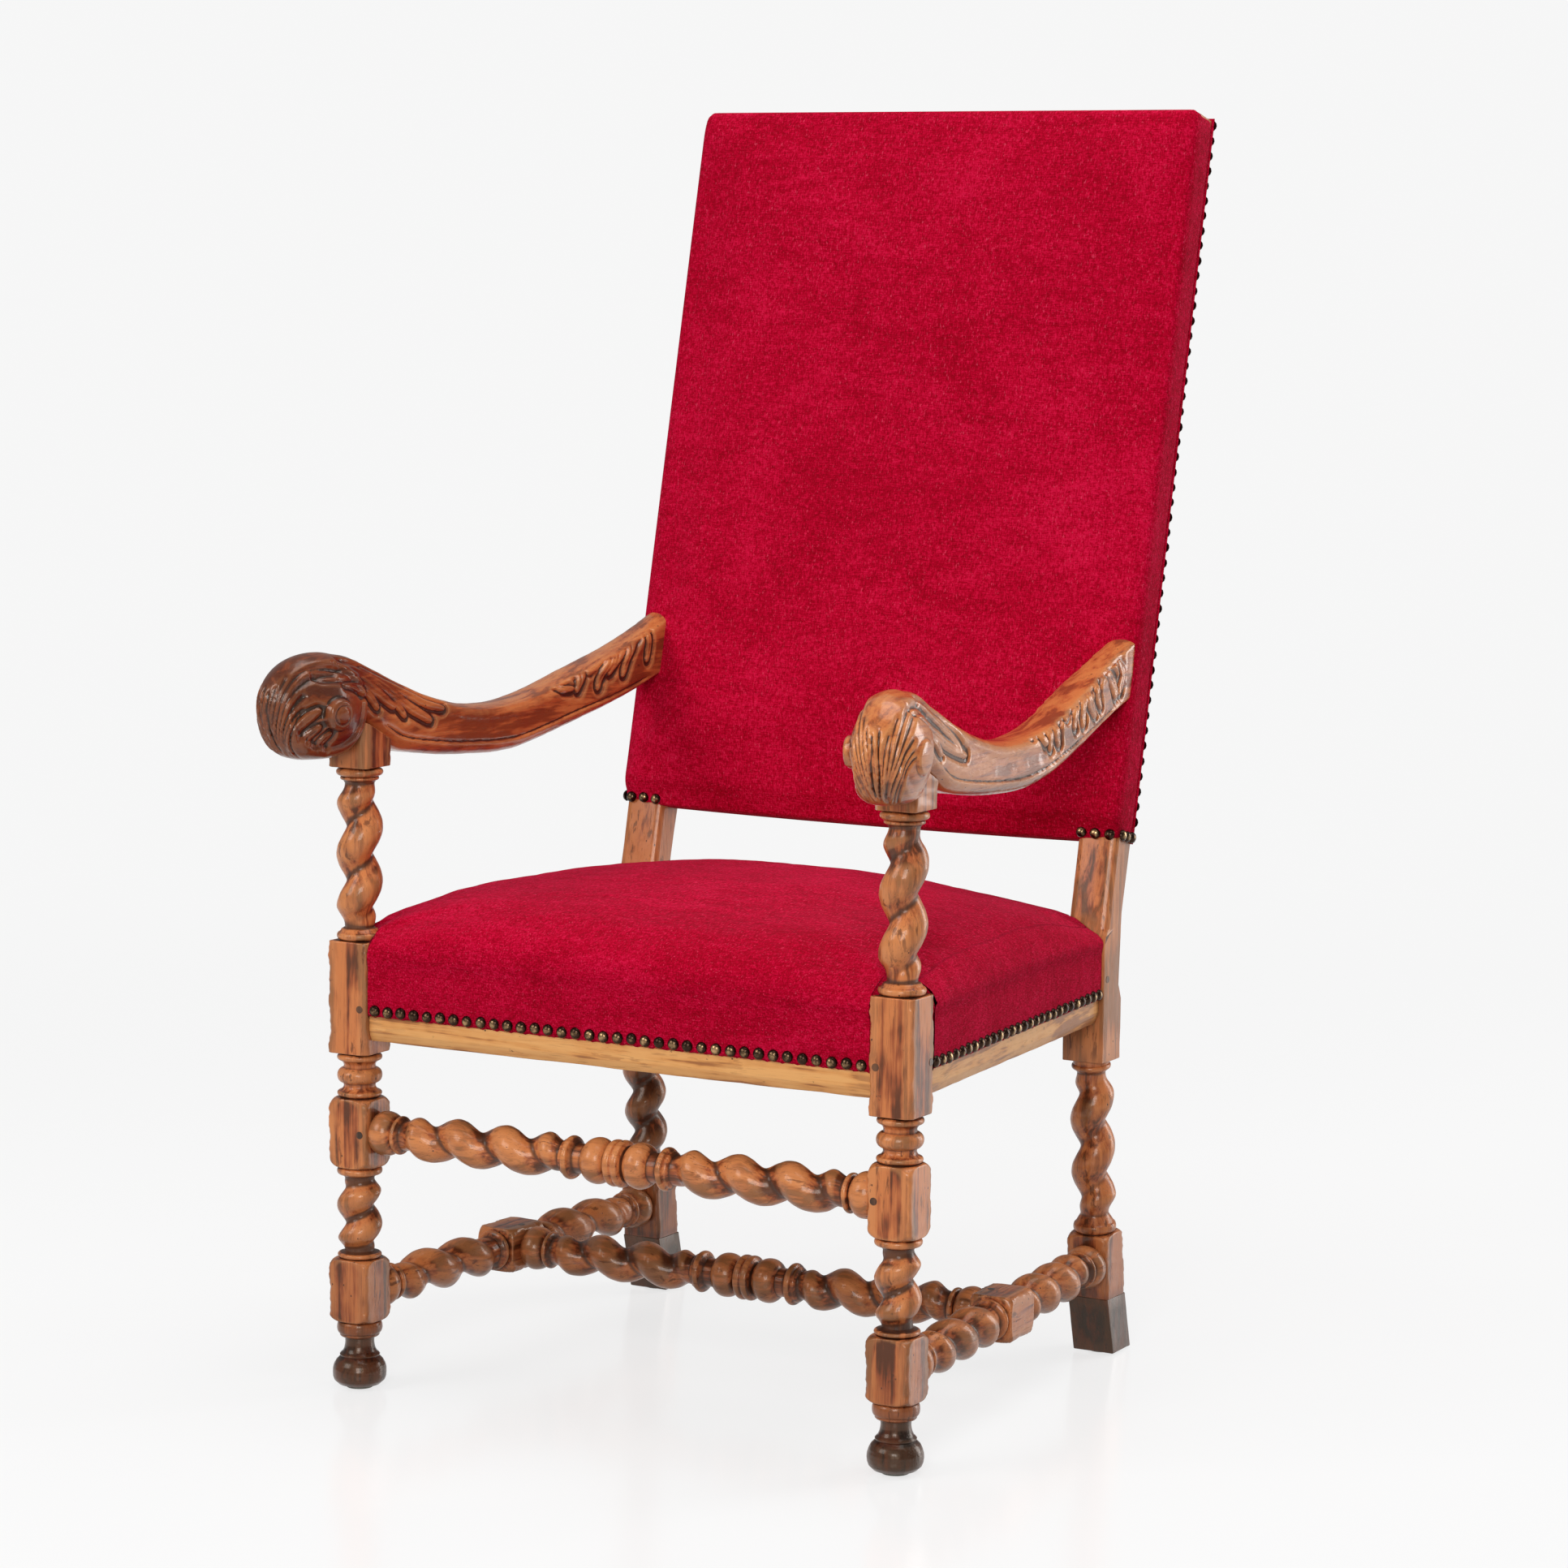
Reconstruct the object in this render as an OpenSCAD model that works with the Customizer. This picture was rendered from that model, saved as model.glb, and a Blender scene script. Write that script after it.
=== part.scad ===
// High-backed open armchair in turned and carved wood with an upholstered seat and back.
// The chair faces -Y, +Z is up and Z = 0 is the floor. X = 0 is the plane between the two sides.
// Y = 0 is the line through the axes of the front posts. Left and right are as seen from the front.

/* [Frame plan] */
// Distance from the middle of the chair to the axis of a front post
front_half = 280; // [272:1:288]
// Distance from the middle of the chair to the axis of a rear post
rear_half = 249; // [246:1:252]
// Distance from the front post axes back to the rear post axes at seat height
seat_depth = 451; // [445:1:457]
// Side of the square stock of the posts and stretchers
stock = 42; // [41.5:0.5:43]
// Depth of a rear post from front to back at seat height
rear_stock = 40; // [39:0.5:41]

/* [Heights] */
// Joint between a turned foot and its front post
foot_top = 47; // [46:0.5:48]
// Lower end of the low stretcher block on a front post
low_block_z = 63.5; // [62:0.5:64]
// Length of the low stretcher block
low_block_h = 58.5; // [57:0.5:60]
// Lower end of the front stretcher block on a front post
mid_block_z = 208; // [206:0.5:210]
// Length of the front stretcher block
mid_block_h = 64.5; // [63:0.5:66]
// Lower end of the seat block on a front post
seat_block_z = 314.5; // [314:0.5:316]
// Length of the seat block
seat_block_h = 104; // [102:0.5:106]
// Underside of the block that carries the arm
arm_block_z = 578; // [576:0.5:580]
// Height of the axes of the side and cross stretchers
low_axis_z = 90; // [89:0.5:91]
// Height of the axis of the front stretcher
mid_axis_z = 241; // [240:0.5:242]

/* [Rear posts] */
// Underside of the seat block on a rear post
rear_block_z = 290; // [286:1:292]
// Backward slope of a rear leg below the seat, in degrees
leg_slope = 5.6; // [5:0.1:6]
// Joint between a rear leg and its spliced foot
splice_z = 58; // [57:0.5:60]
// How far the rear foot kicks back below its splice
foot_kick = 15; // [12:1:17]
// Height at which the back begins to lean
lean_z = 402; // [400:1:404]
// Backward lean of the back, as a run over a rise
back_lean = 0.225; // [0.21:0.005:0.24]
// Depth of a rear post beside the back
back_post_depth = 33; // [32:0.5:34]
// Chamfer down the front corners of a rear post above the seat
post_chamfer = 8; // [6:0.5:9]

/* [Seat rails] */
// Lower edge of the seat rails
rail_z = 328; // [326:1:330]
// Height of the seat rails
rail_h = 72; // [70:1:74]
// Thickness of the seat rails
rail_t = 24; // [23:0.5:25]
// Set-back of a rail face behind the post face
rail_inset = 5; // [4.5:0.5:5.5]
// Chamfer along the lower outer edge of a rail
rail_chamfer = 9; // [6:1:10]

/* [Rope turning] */
// Outer radius over the rope's ridge
rope_ridge = 21.2; // [20.5:0.1:21.5]
// Radius at the bottom of the rope's groove
rope_groove = 11.8; // [11.5:0.1:12.5]
// Radius of the round neck at each end of a rope
rope_neck = 14; // [13.5:0.25:14.5]
// Stations along one turn of the rope
rope_steps = 12; // [10:1:12]
// Points round one section of the rope
rope_sides = 12; // [12:1:14]

/* [Joints] */
// Gap between a tenon and the sides of its mortise
fit_gap = 0.2; // [0.1:0.05:0.3]
// Gap between the end of a tenon and the bottom of its mortise
end_gap = 1; // [0.5:0.25:1.5]
// Radius of the round tenons on the stretchers
round_tenon = 8; // [7:0.5:8.5]
// Length of the round tenons on the stretchers
round_tenon_l = 16; // [14:1:17]
// Thickness of the flat rail tenons
flat_tenon = 9; // [8:0.5:10]
// Length of the flat rail tenons
flat_tenon_l = 15; // [14:1:16]
// Radius of the wooden pegs
peg_r = 3.4; // [3:0.1:3.6]

/* [Arms] */
// Distance from the middle of the chair to the middle of a scroll
scroll_half = 296; // [293:1:299]
// Front end of the scroll
scroll_front = -119; // [-122:1:-116]
// Half the length of the scroll from front to back
scroll_depth = 58.5; // [56:0.5:60]
// Half the height of the scroll
scroll_rise = 48; // [46:0.5:49]
// Half the width of the scroll
scroll_side = 35.5; // [33:0.5:37]
// Radius of the round eye carved on each side of the scroll
eye_r = 12.5; // [11:0.5:13]

/* [Upholstery] */
// Thickness of the velvet with its lining
velvet = 2.4; // [2:0.1:2.8]
// Lower edge of the seat velvet on the rails
velvet_low = 350.5; // [349:0.5:352]
// Height of the seat's crown above the floor
seat_crown = 475; // [472:1:478]
// How far the seat velvet swells out beyond the rails
seat_swell = 5; // [3:0.5:6]
// Lower edge of the padded back
back_low = 500; // [497:1:503]
// Top of the padded back
back_high = 1190; // [1150:5:1205]
// Thickness of the back's padding near its edges
pad_edge = 12; // [11:0.5:13]
// Extra thickness of the back's padding at its middle
pad_crown = 8.5; // [7:0.5:10]

/* [Nails] */
// Diameter of a domed nail head
nail_d = 11; // [10:0.5:11.5]
// Height of a domed nail head
nail_h = 4; // [3:0.25:4.5]
// Number of nails along the front rail
front_nail_count = 36; // [34:1:37]
// Number of nails along each side rail
side_nail_count = 28; // [26:1:29]
// Distance between the nails round the outside of the back
back_nail_step = 14.4; // [13.5:0.1:18]

/* [Hidden] */
$fn = 48;
half = stock / 2;
low_block_top = low_block_z + low_block_h;
mid_block_top = mid_block_z + mid_block_h;
seat_block_top = seat_block_z + seat_block_h;
rear_front = seat_depth - rear_stock / 2;
rear_back = seat_depth + rear_stock / 2;
rail_top = rail_z + rail_h;
touch = 0.05;
wood = "#8a4f25";
dark_wood = "#4a2613";
pale_wood = "#a8713c";
red = "#a0122f";
brass = "#7a6136";
jute = "#b59a6c";

function mix(a, b, t) = a + (b - a) * t;
function ease(t) = let(s = max(0, min(1, t))) s * s * (3 - 2 * s);
module on_side(side) { if (side < 0) mirror([1, 0, 0]) children(); else children(); }
module box(low, high) { translate(low) cube(high - low); }

/* Turned work. A profile is a list of [radius, height] points from low to high. */

// A half round ring between two heights, standing out from a base radius.
function ring(z0, z1, base, r) =
    [for (a = [0:36:180]) [base + (r - base) * sin(a), mix(z0, z1, (1 - cos(a)) / 2)]];
// A hollow curve between two radii.
function cove(z0, r0, z1, r1, deep) =
    [for (t = [0.25:0.25:0.75]) [mix(r0, r1, t) - deep * sin(180 * t), mix(z0, z1, t)]];
// A flattened ball round a centre height, cut off where it meets its necks.
function ball(zc, wide, r) =
    [for (a = [-60:20:60]) [r * (0.3 + 0.7 * cos(a)), zc + wide * sin(a) / sin(60)]];
module turned(profile) {
    last = len(profile) - 1;
    rotate_extrude() polygon(concat([[0, profile[0][1]]], profile, [[0, profile[last][1]]]));
}
// A square block whose corners the lathe has rounded off at the chosen ends.
module lathe_block(z0, z1, shoulder, low = true, high = true, wide = stock, deep = stock) {
    r0 = min(wide, deep) / 2 - 1;
    intersection() {
        box([-wide / 2, -deep / 2, z0], [wide / 2, deep / 2, z1]);
        turned(concat(
            low ? [for (a = [0:30:90]) [mix(r0, 31, sin(a)), z0 + shoulder * (1 - cos(a))]] : [[31, z0]],
            high ? [for (a = [90:-30:0]) [mix(r0, 31, sin(a)), z1 - shoulder * (1 - cos(a))]]
                : [[31, z1]]));
    }
}
// One length of right-handed rope turning, standing on its lower end. Its ridge starts at a chosen angle.
module rope(length, pitch, phase, ridge = rope_ridge, groove = rope_groove) {
    turns = length / pitch;
    n = round(turns * rope_steps);
    bury = 1.2;
    soft = 0.3;
    full = sqrt(1 + soft * soft);
    depth = (ridge - groove) / (1 - soft / full);
    function swell(psi) = ridge - depth * (1 - sqrt(pow(cos(psi / 2), 2) + soft * soft) / full);
    function radius(psi, t) = mix(rope_neck - 0.5, swell(psi), ease(min(t, 1 - t) * turns / 0.4));
    function level(i) = i < 0 ? -bury : i > n ? length + bury : length * i / n;
    points = [for (i = [-1:n + 1]) for (k = [0:rope_sides - 1]) let(
        psi = 360 * k / rope_sides,
        turn = psi + phase + 360 * level(i) / pitch,
        r = radius(psi, max(0, min(1, i / n))))
        [r * cos(turn), r * sin(turn), level(i)]];
    polyhedron(points, tube_faces(n + 3, rope_sides));
}
// Faces of a closed tube made of rings with the same number of points.
function tube_faces(rings, sides) = concat(
    [[for (k = [0:sides - 1]) k]],
    [for (i = [0:rings - 2]) for (k = [0:sides - 1]) each [
        [i * sides + k, (i + 1) * sides + k, (i + 1) * sides + (k + 1) % sides],
        [i * sides + k, (i + 1) * sides + (k + 1) % sides, i * sides + (k + 1) % sides]]],
    [[for (k = [sides - 1:-1:0]) (rings - 1) * sides + k]]
);

/* Front posts. Pitch and phase of the ropes are those of the left and of the right post. */

low_rope_z = [low_block_top + 7, mid_block_z - 11];
high_rope_z = [seat_block_top + 12, arm_block_z - 15];
low_rope_pitch = [34.5, 36];
low_rope_phase = [130, 143];
high_rope_pitch = [49.5, 52];
high_rope_phase = [82, 45];
foot_dowel_r = 9;
foot_dowel_l = 20;
arm_dowel_r = 10;
arm_dowel_z = arm_block_z + 62;
arm_seat_front = arm_block_z + 44;
arm_seat_rear = arm_block_z + 24;
tenon_z = rail_z + 12;
tenon_h = rail_h - 24;
front_tenon_y = -half + rail_inset + rail_t / 2;
side_tenon_x = half - rail_inset - rail_t / 2;

module front_post_turning() {
    turned(concat([[13.4, foot_top]], cove(foot_top, 13.4, foot_top + 2, 17.6, 0),
        [[18.4, foot_top + 2.5], [18.4, foot_top + 4.5]],
        ring(foot_top + 4.5, low_block_z - 0.8, 18.6, half), [[17, low_block_z]], [[17, low_block_top]],
        ring(low_block_top + 0.8, low_block_top + 5.4, 17.4, 20.4),
            [[16.5, low_rope_z[0] - 1.5], [rope_neck, low_rope_z[0]]]));
    turned(concat([[rope_neck, low_rope_z[1]], [14.6, low_rope_z[1] + 2], [18, low_rope_z[1] + 3.4]],
        ring(low_rope_z[1] + 3.6, mid_block_z - 0.8, 18.2, half),
            [[17, mid_block_z], [17, mid_block_top]],
        ring(mid_block_top + 1.2, mid_block_top + 6.6, 17.5, 20.6),
        cove(mid_block_top + 7, 17, mid_block_top + 13, 15, 1.2),
        ring(mid_block_top + 13.5, mid_block_top + 27.5, 14.8, half - 0.2),
        cove(mid_block_top + 28, 15, mid_block_top + 34, 17, 1.2),
        ring(mid_block_top + 34.5, seat_block_z - 1.4, 17.5, half - 0.2),
            [[17, seat_block_z], [17, seat_block_top]],
        ring(seat_block_top + 0.8, seat_block_top + 7.6, 18, half),
            [[16.8, high_rope_z[0] - 2], [rope_neck, high_rope_z[0]]]));
    turned(concat([[rope_neck, high_rope_z[1]], [15, high_rope_z[1] + 2.4]],
        ring(high_rope_z[1] + 2.8, high_rope_z[1] + 6.4, 15.8, 17.8),
        ring(high_rope_z[1] + 6.6, high_rope_z[1] + 14, 17, half + 0.5),
            [[17, arm_block_z], [17, arm_block_z + 8]]));
}
// The arm block, cut off along the slope of the arm's underside and chamfered at its inner front corner.
module arm_block() {
    slope = (arm_seat_front - arm_seat_rear) / stock;
    difference() {
        rotate([90, 0, 90]) translate([0, 0, -half]) linear_extrude(stock)
            polygon([[-half, arm_block_z], [half, arm_block_z], [half, arm_seat_rear],
                [-half, arm_seat_front]]);
        translate([-half, -half, arm_block_z - 1]) rotate([0, 0, 45]) translate([-4.2, -12, 0])
            cube([8.4, 24, 60]);
    }
}
module front_post(side) {
    i = side < 0 ? 0 : 1;
    color(wood) translate([side * front_half, 0, 0]) difference() {
        union() {
            front_post_turning();
            lathe_block(low_block_z, low_block_top, 9);
            lathe_block(mid_block_z, mid_block_top, 10);
            lathe_block(seat_block_z, seat_block_top, 2, false, false);
            on_side(side) arm_block();
            translate([0, 0, low_rope_z[0]])
                rope(low_rope_z[1] - low_rope_z[0], low_rope_pitch[i], low_rope_phase[i], ridge = 20.8,
                    groove = 12.4);
            translate([0, 0, high_rope_z[0]])
                rope(high_rope_z[1] - high_rope_z[0], high_rope_pitch[i], high_rope_phase[i]);
            translate([0, 0, arm_seat_rear - 6]) cylinder(r = arm_dowel_r,
                h = arm_dowel_z - arm_seat_rear + 6);
        }
        translate([0, 0, foot_top - 1]) cylinder(r = foot_dowel_r + fit_gap,
            h = foot_dowel_l + end_gap + 1);
        on_side(side) front_post_mortises();
    }
}
// Mortises of a front post in place on the right hand side, seen from the post's own axis.
module front_post_mortises() {
    deep = flat_tenon_l + end_gap;
    translate([-half - 1, 0, mid_axis_z]) rotate([0, 90, 0])
        cylinder(r = round_tenon + fit_gap, h = round_tenon_l + end_gap + 1);
    translate([0, 0, low_axis_z]) rotate([0, 0, stretcher_angle]) rotate([-90, 0, 0])
        translate([0, 0, half - round_tenon_l - end_gap]) cylinder(r = round_tenon + fit_gap,
            h = round_tenon_l + end_gap + 4);
    box([-half - 1, front_tenon_y - flat_tenon / 2 - fit_gap, tenon_z - fit_gap],
        [-half + deep, front_tenon_y + flat_tenon / 2 + fit_gap, tenon_z + tenon_h + fit_gap]);
    box([side_tenon_x - flat_tenon / 2 - fit_gap, half - deep, tenon_z - fit_gap],
        [side_tenon_x + flat_tenon / 2 + fit_gap, half + 1, tenon_z + tenon_h + fit_gap]);
    translate([-front_half, 0, 0]) frame_peg_holes();
}

/* Front feet and floor pads */

pad_h = 2;
module front_foot(side) {
    color(dark_wood) translate([side * front_half, 0, 0]) turned([
        [14, pad_h], [19.5, pad_h + 1.5], [23.4, 7], [25, 14], [24.6, 19], [22.4, 25], [18.2, 29.6],
        [18, 31.6], [15.6, 34.5], [13.8, 38], [13.4, 42], [13.4, foot_top],
        [foot_dowel_r, foot_top], [foot_dowel_r, foot_top + foot_dowel_l]]);
}
module foot_pads() {
    color("#b9bba4") for (side = [-1, 1]) {
        translate([side * front_half, 0, 0]) cylinder(r = 12, h = pad_h);
        translate([side * rear_half, rear_foot_y + rear_stock / 2, 0]) cylinder(r = 13, h = pad_h);
    }
}

/* Rear posts. Each is one length of wood: a turned leg that slopes back,
    a seat block and a leaning upper post. */

lean_angle = atan(back_lean);
rear_rope_l = [12, 152];
rear_rope_pitch = [41.5, 51.5];
rear_rope_phase = [155, 277];
rear_splice_y = rear_front + (rear_block_z - splice_z) * tan(leg_slope);
rear_foot_y = rear_splice_y + foot_kick;
rear_low_face_y = rear_front + (rear_block_z - low_axis_z) * tan(leg_slope);
splice_dowel_l = 17;
function post_face_y(z) = rear_front + max(0, z - lean_z) * back_lean;

// Moves a shape from the back's own frame to its place: X stays, Y = 0 is the front face of the posts
// and Z runs up along the lean from the height at which it begins.
module lean_frame() { translate([0, rear_front, lean_z]) rotate([-lean_angle, 0, 0]) children(); }
// Moves a shape that hangs below its origin to the place of a rear leg.
module leg_frame() { translate([rear_half, seat_depth, rear_block_z]) rotate([leg_slope, 0, 0])
    children(); }
back_s0 = (back_low - lean_z) / cos(lean_angle);
back_s1 = (back_high - lean_z - pad_edge * sin(lean_angle)) / cos(lean_angle);
wood_s1 = back_s1 - velvet - fit_gap;
post_d = back_post_depth * cos(lean_angle);

module rear_post_upper() {
    knee = rear_back - 6;
    translate([rear_half - half, 0, 0]) rotate([90, 0, 90]) linear_extrude(stock) polygon([
        [rear_front, rear_block_z], [rear_front, lean_z],
        [rear_front + wood_s1 * sin(lean_angle), lean_z + wood_s1 * cos(lean_angle)],
        [rear_front + wood_s1 * sin(lean_angle) + post_d * cos(lean_angle),
            lean_z + wood_s1 * cos(lean_angle) - post_d * sin(lean_angle)],
        [post_face_y(500) + back_post_depth, 500], [post_face_y(430) + mix(30, back_post_depth, 0.4),
            430],
        [knee, 362], [rear_back, 348], [rear_back, rear_block_z]]);
}
module rear_leg_turning() {
    turned(concat([[17, -180], [17, -169]], ring(-169, -160.5, 18.4, half - 0.4),
        [[18, -159.6], [15.2, -155], [rope_neck, -rear_rope_l[1]]]));
    turned(concat([[rope_neck, -rear_rope_l[0]], [15, -10], [16.6, -9]], ring(-8.6, -3.4, 16.6, 18.8),
        [[17, -2], [17, 4]]));
}
module rear_post(side) {
    i = side < 0 ? 0 : 1;
    color(wood) difference() {
        union() {
            on_side(side) rear_post_upper();
            translate([(side - 1) * rear_half, 0, 0]) leg_frame() {
                rear_leg_turning();
                translate([0, 0, -rear_rope_l[1]]) rope(rear_rope_l[1] - rear_rope_l[0],
                    rear_rope_pitch[i], rear_rope_phase[i]);
                lathe_block(-250, -170, 9, low = false, wide = stock, deep = rear_stock);
            }
        }
        box([-400, 300, -10], [400, 700, splice_z]);
        on_side(side) rear_post_cuts();
    }
}
// Chamfers and mortises of a rear post on the right hand side.
module rear_post_cuts() {
    deep = flat_tenon_l + end_gap;
    lean_frame() for (edge = [-1, 1]) translate([rear_half + edge * half, 0, 13]) rotate([0, 0, 45])
        box([-post_chamfer / sqrt(2), -post_chamfer / sqrt(2), 0],
            [post_chamfer / sqrt(2), post_chamfer / sqrt(2), back_s0 - 6]);
    stretcher_axis() translate([0, 0, stretcher_length - 20]) cylinder(r = round_tenon + fit_gap,
        h = 20 + round_tenon_l + end_gap);
    leg_frame() translate([0, 0, -(rear_block_z - splice_z) / cos(leg_slope) - 1])
        cylinder(r = foot_dowel_r - 2 + fit_gap, h = splice_dowel_l + end_gap + 1);
    // Mortises of the side rail, the rear rail and the arm.
    box([rear_half + side_tenon_x - flat_tenon / 2 - fit_gap, rear_front - 1, tenon_z - fit_gap],
        [rear_half + side_tenon_x + flat_tenon / 2 + fit_gap, rear_front + deep,
            tenon_z + tenon_h + fit_gap]);
    box([rear_half - half - 1, rear_rail_tenon_y - flat_tenon / 2 - fit_gap, tenon_z - fit_gap],
        [rear_half - half + deep, rear_rail_tenon_y + flat_tenon / 2 + fit_gap,
            tenon_z + tenon_h + fit_gap]);
    box([arm_end_x - flat_tenon / 2 - fit_gap, post_face_y(arm_tenon_z) - 12, arm_tenon_z - fit_gap],
        [arm_end_x + flat_tenon / 2 + fit_gap, post_face_y(arm_tenon_z) + deep,
            arm_tenon_z + arm_tenon_h + fit_gap]);
    lean_frame() {
        box([rear_half - half - 1, back_rail_tenon_y - flat_tenon / 2 - fit_gap,
            top_rail_s + 12 - fit_gap],
            [rear_half - half + deep, back_rail_tenon_y + flat_tenon / 2 + fit_gap,
                wood_s1 - 12 + fit_gap]);
        box([rear_half - half - 1, back_rail_tenon_y - flat_tenon / 2 - fit_gap,
            low_rail_s + 10 - fit_gap],
            [rear_half - half + deep, back_rail_tenon_y + flat_tenon / 2 + fit_gap,
                low_rail_s + low_rail_h - 10 + fit_gap]);
    }
    frame_peg_holes();
}
module rear_foot(side) {
    top = rear_splice_y;
    color(dark_wood) on_side(side) {
        translate([rear_half - half, 0, 0]) rotate([90, 0, 90]) linear_extrude(stock) polygon([
            [top, splice_z], [rear_foot_y, pad_h], [rear_foot_y + rear_stock, pad_h],
                [top + rear_stock / cos(leg_slope), splice_z]]);
        leg_frame() translate([0, 0, -(rear_block_z - splice_z) / cos(leg_slope) - 8])
            cylinder(r = foot_dowel_r - 2, h = splice_dowel_l + 8);
    }
}

/* Stretchers */

stretcher_run = rear_low_face_y + rear_stock / 2;
stretcher_angle = atan((front_half - rear_half) / stretcher_run);
stretcher_length = (rear_low_face_y) / cos(stretcher_angle);
end_l = 30;
centre_l = 58;
// Puts a shape that stands on its lower end along the right hand side stretcher, from the front post's axis back.
module stretcher_axis() {
    translate([front_half, 0, low_axis_z]) rotate([0, 0, stretcher_angle]) rotate([-90, 0, 0]) children();
}
// The ball, collar and neck at the lower end of a stretcher.
function stretcher_end(s) = concat(
    [[15, s]], [for (a = [-40:20:60]) [20.8 * (0.3 + 0.7 * cos(a)),
        s + 22 * (sin(a) + sin(40)) / (sin(60) + sin(40))]],
    [[15.5, s + 22.4]], ring(s + 22.6, s + 27.4, 15.8, 17.8), [[rope_neck, s + end_l]]);
function flipped(profile) = [for (i = [len(profile) - 1:-1:0]) [profile[i][0], -profile[i][1]]];
// Rings, balls and the double disc at the middle of a long stretcher.
function stretcher_centre() = let(side_half = concat(
    ring(0.4, 7.2, 19.4, half + 0.2), [[17.5, 8.6]], ball(22, 12.5, half), [[13.4, 38.5], [13.6, 43]],
    [[16.6, 45.6]], ring(46, 52.6, 17, 19.8), [[16.8, 53.2], [16.4, 55.4], [rope_neck, centre_l]]))
    concat(flipped(side_half), side_half);
// A long stretcher: two ropes between end balls and a turned centre, lying along X.
module long_stretcher(reach, pitch, phase_left, phase_right) {
    rope_l = reach - end_l - centre_l;
    rotate([0, 90, 0]) {
        turned(stretcher_centre());
        turned(concat([[round_tenon, -reach - round_tenon_l], [round_tenon, -reach]],
            stretcher_end(-reach)));
        turned(concat(flipped(stretcher_end(-reach)),
            [[round_tenon, reach], [round_tenon, reach + round_tenon_l]]));
        translate([0, 0, -reach + end_l]) rope(rope_l, pitch[0], phase_left);
        translate([0, 0, centre_l]) rope(rope_l, pitch[1], phase_right);
    }
}
module front_stretcher() {
    color(wood) difference() {
        translate([0, 0, mid_axis_z]) long_stretcher(front_half - half, [51, 51.5], 129, 89);
        for (side = [-1, 1]) on_side(side) frame_peg_holes();
    }
}
stretcher_mid = (half + stretcher_length) / 2;
side_block_half = 27;
side_rope_pitch_front = [55, 51];
side_rope_pitch_rear = [53.7, 49];
side_rope_phase_front = [301, 187];
side_rope_phase_rear = [315, 336];
module side_stretcher(side) {
    i = side < 0 ? 0 : 1;
    s0 = half;
    s1 = stretcher_length;
    rope_l = stretcher_mid - side_block_half - 9 - s0 - end_l;
    color(wood) difference() {
        union() {
            intersection() {
                on_side(side) stretcher_axis() {
                    turned(stretcher_end(s0));
                    translate([0, 0, s1]) turned(flipped(stretcher_end(0)));
                }
                on_side(side) union() {
                    box([100, half, 0], [400, 300, 200]);
                    leg_frame() box([-150, -300, -300], [150, -rear_stock / 2, -100]);
                }
            }
            on_side(side) stretcher_axis() {
                // Tenons.
                translate([0, 0, s0 - round_tenon_l]) cylinder(r = round_tenon, h = 26);
                translate([0, 0, s1 - 10]) cylinder(r = round_tenon, h = 10 + round_tenon_l);
                // Centre block with a turned shoulder and collar at each end.
                translate([0, 0, stretcher_mid]) {
                    lathe_block(-side_block_half, side_block_half, 9);
                    turned(concat(flipped(side_collar()), side_collar()));
                }
            }
            side_rope(side, s0 + end_l, rope_l, side_rope_pitch_front[i], side_rope_phase_front[i]);
            side_rope(side, stretcher_mid + side_block_half + 9, rope_l, side_rope_pitch_rear[i],
                side_rope_phase_rear[i]);
        }
        on_side(side) cross_mortise();
    }
}
function side_collar() = concat([[17, side_block_half - 2], [17, side_block_half + 1]],
    ring(side_block_half + 1.2, side_block_half + 6, 16.8, 19),
        [[16, side_block_half + 6.6], [rope_neck, side_block_half + 9]]);
// A rope on a side stretcher, kept right-handed on both sides of the chair.
module side_rope(side, s, length, pitch, phase) {
    translate([side * front_half, 0, low_axis_z]) rotate([0, 0, side * stretcher_angle])
        rotate([-90, 0, 0])
        translate([0, 0, s]) rope(length, pitch, phase);
}
cross_y = stretcher_mid * cos(stretcher_angle);
cross_face_x = front_half - stretcher_mid * sin(stretcher_angle) - half / cos(stretcher_angle);
module cross_mortise() {
    translate([cross_face_x - 3, cross_y, low_axis_z]) rotate([0, 90, 0])
        cylinder(r = round_tenon + fit_gap, h = round_tenon_l + end_gap + 3);
    cross_peg_hole();
}
module cross_stretcher() {
    color(wood) difference() {
        union() {
            intersection() {
                translate([0, cross_y, low_axis_z]) long_stretcher_core(cross_face_x);
                // Each end is cut to the angle of the block that it meets.
                intersection_for (side = [-1, 1]) translate([side * cross_face_x, cross_y, low_axis_z])
                    rotate([0, 0, side * stretcher_angle])
                        box([side < 0 ? 0 : -3 * front_half, -front_half, -stock],
                            [side < 0 ? 3 * front_half : 0, front_half, stock]);
            }
            translate([0, cross_y, low_axis_z]) rotate([0, 90, 0]) {
                rope_l = cross_face_x - end_l - centre_l;
                translate([0, 0, -cross_face_x + end_l]) rope(rope_l, 51, 172);
                translate([0, 0, centre_l]) rope(rope_l, 47, 193);
                for (end = [-1, 1]) translate([0, 0, end * (cross_face_x + round_tenon_l / 2 - 5)])
                    cylinder(r = round_tenon, h = round_tenon_l + 10, center = true);
            }
        }
        for (side = [-1, 1]) on_side(side) cross_peg_hole();
    }
}
module long_stretcher_core(reach) {
    rotate([0, 90, 0]) {
        turned(stretcher_centre());
        translate([0, 0, -reach - 2]) turned([[15, 0], [15.2, 3]]);
        turned(stretcher_end(-reach));
        turned(flipped(stretcher_end(-reach)));
        translate([0, 0, reach - 1]) turned([[15.2, 0], [15, 3]]);
    }
}

/* Seat rails */

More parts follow.
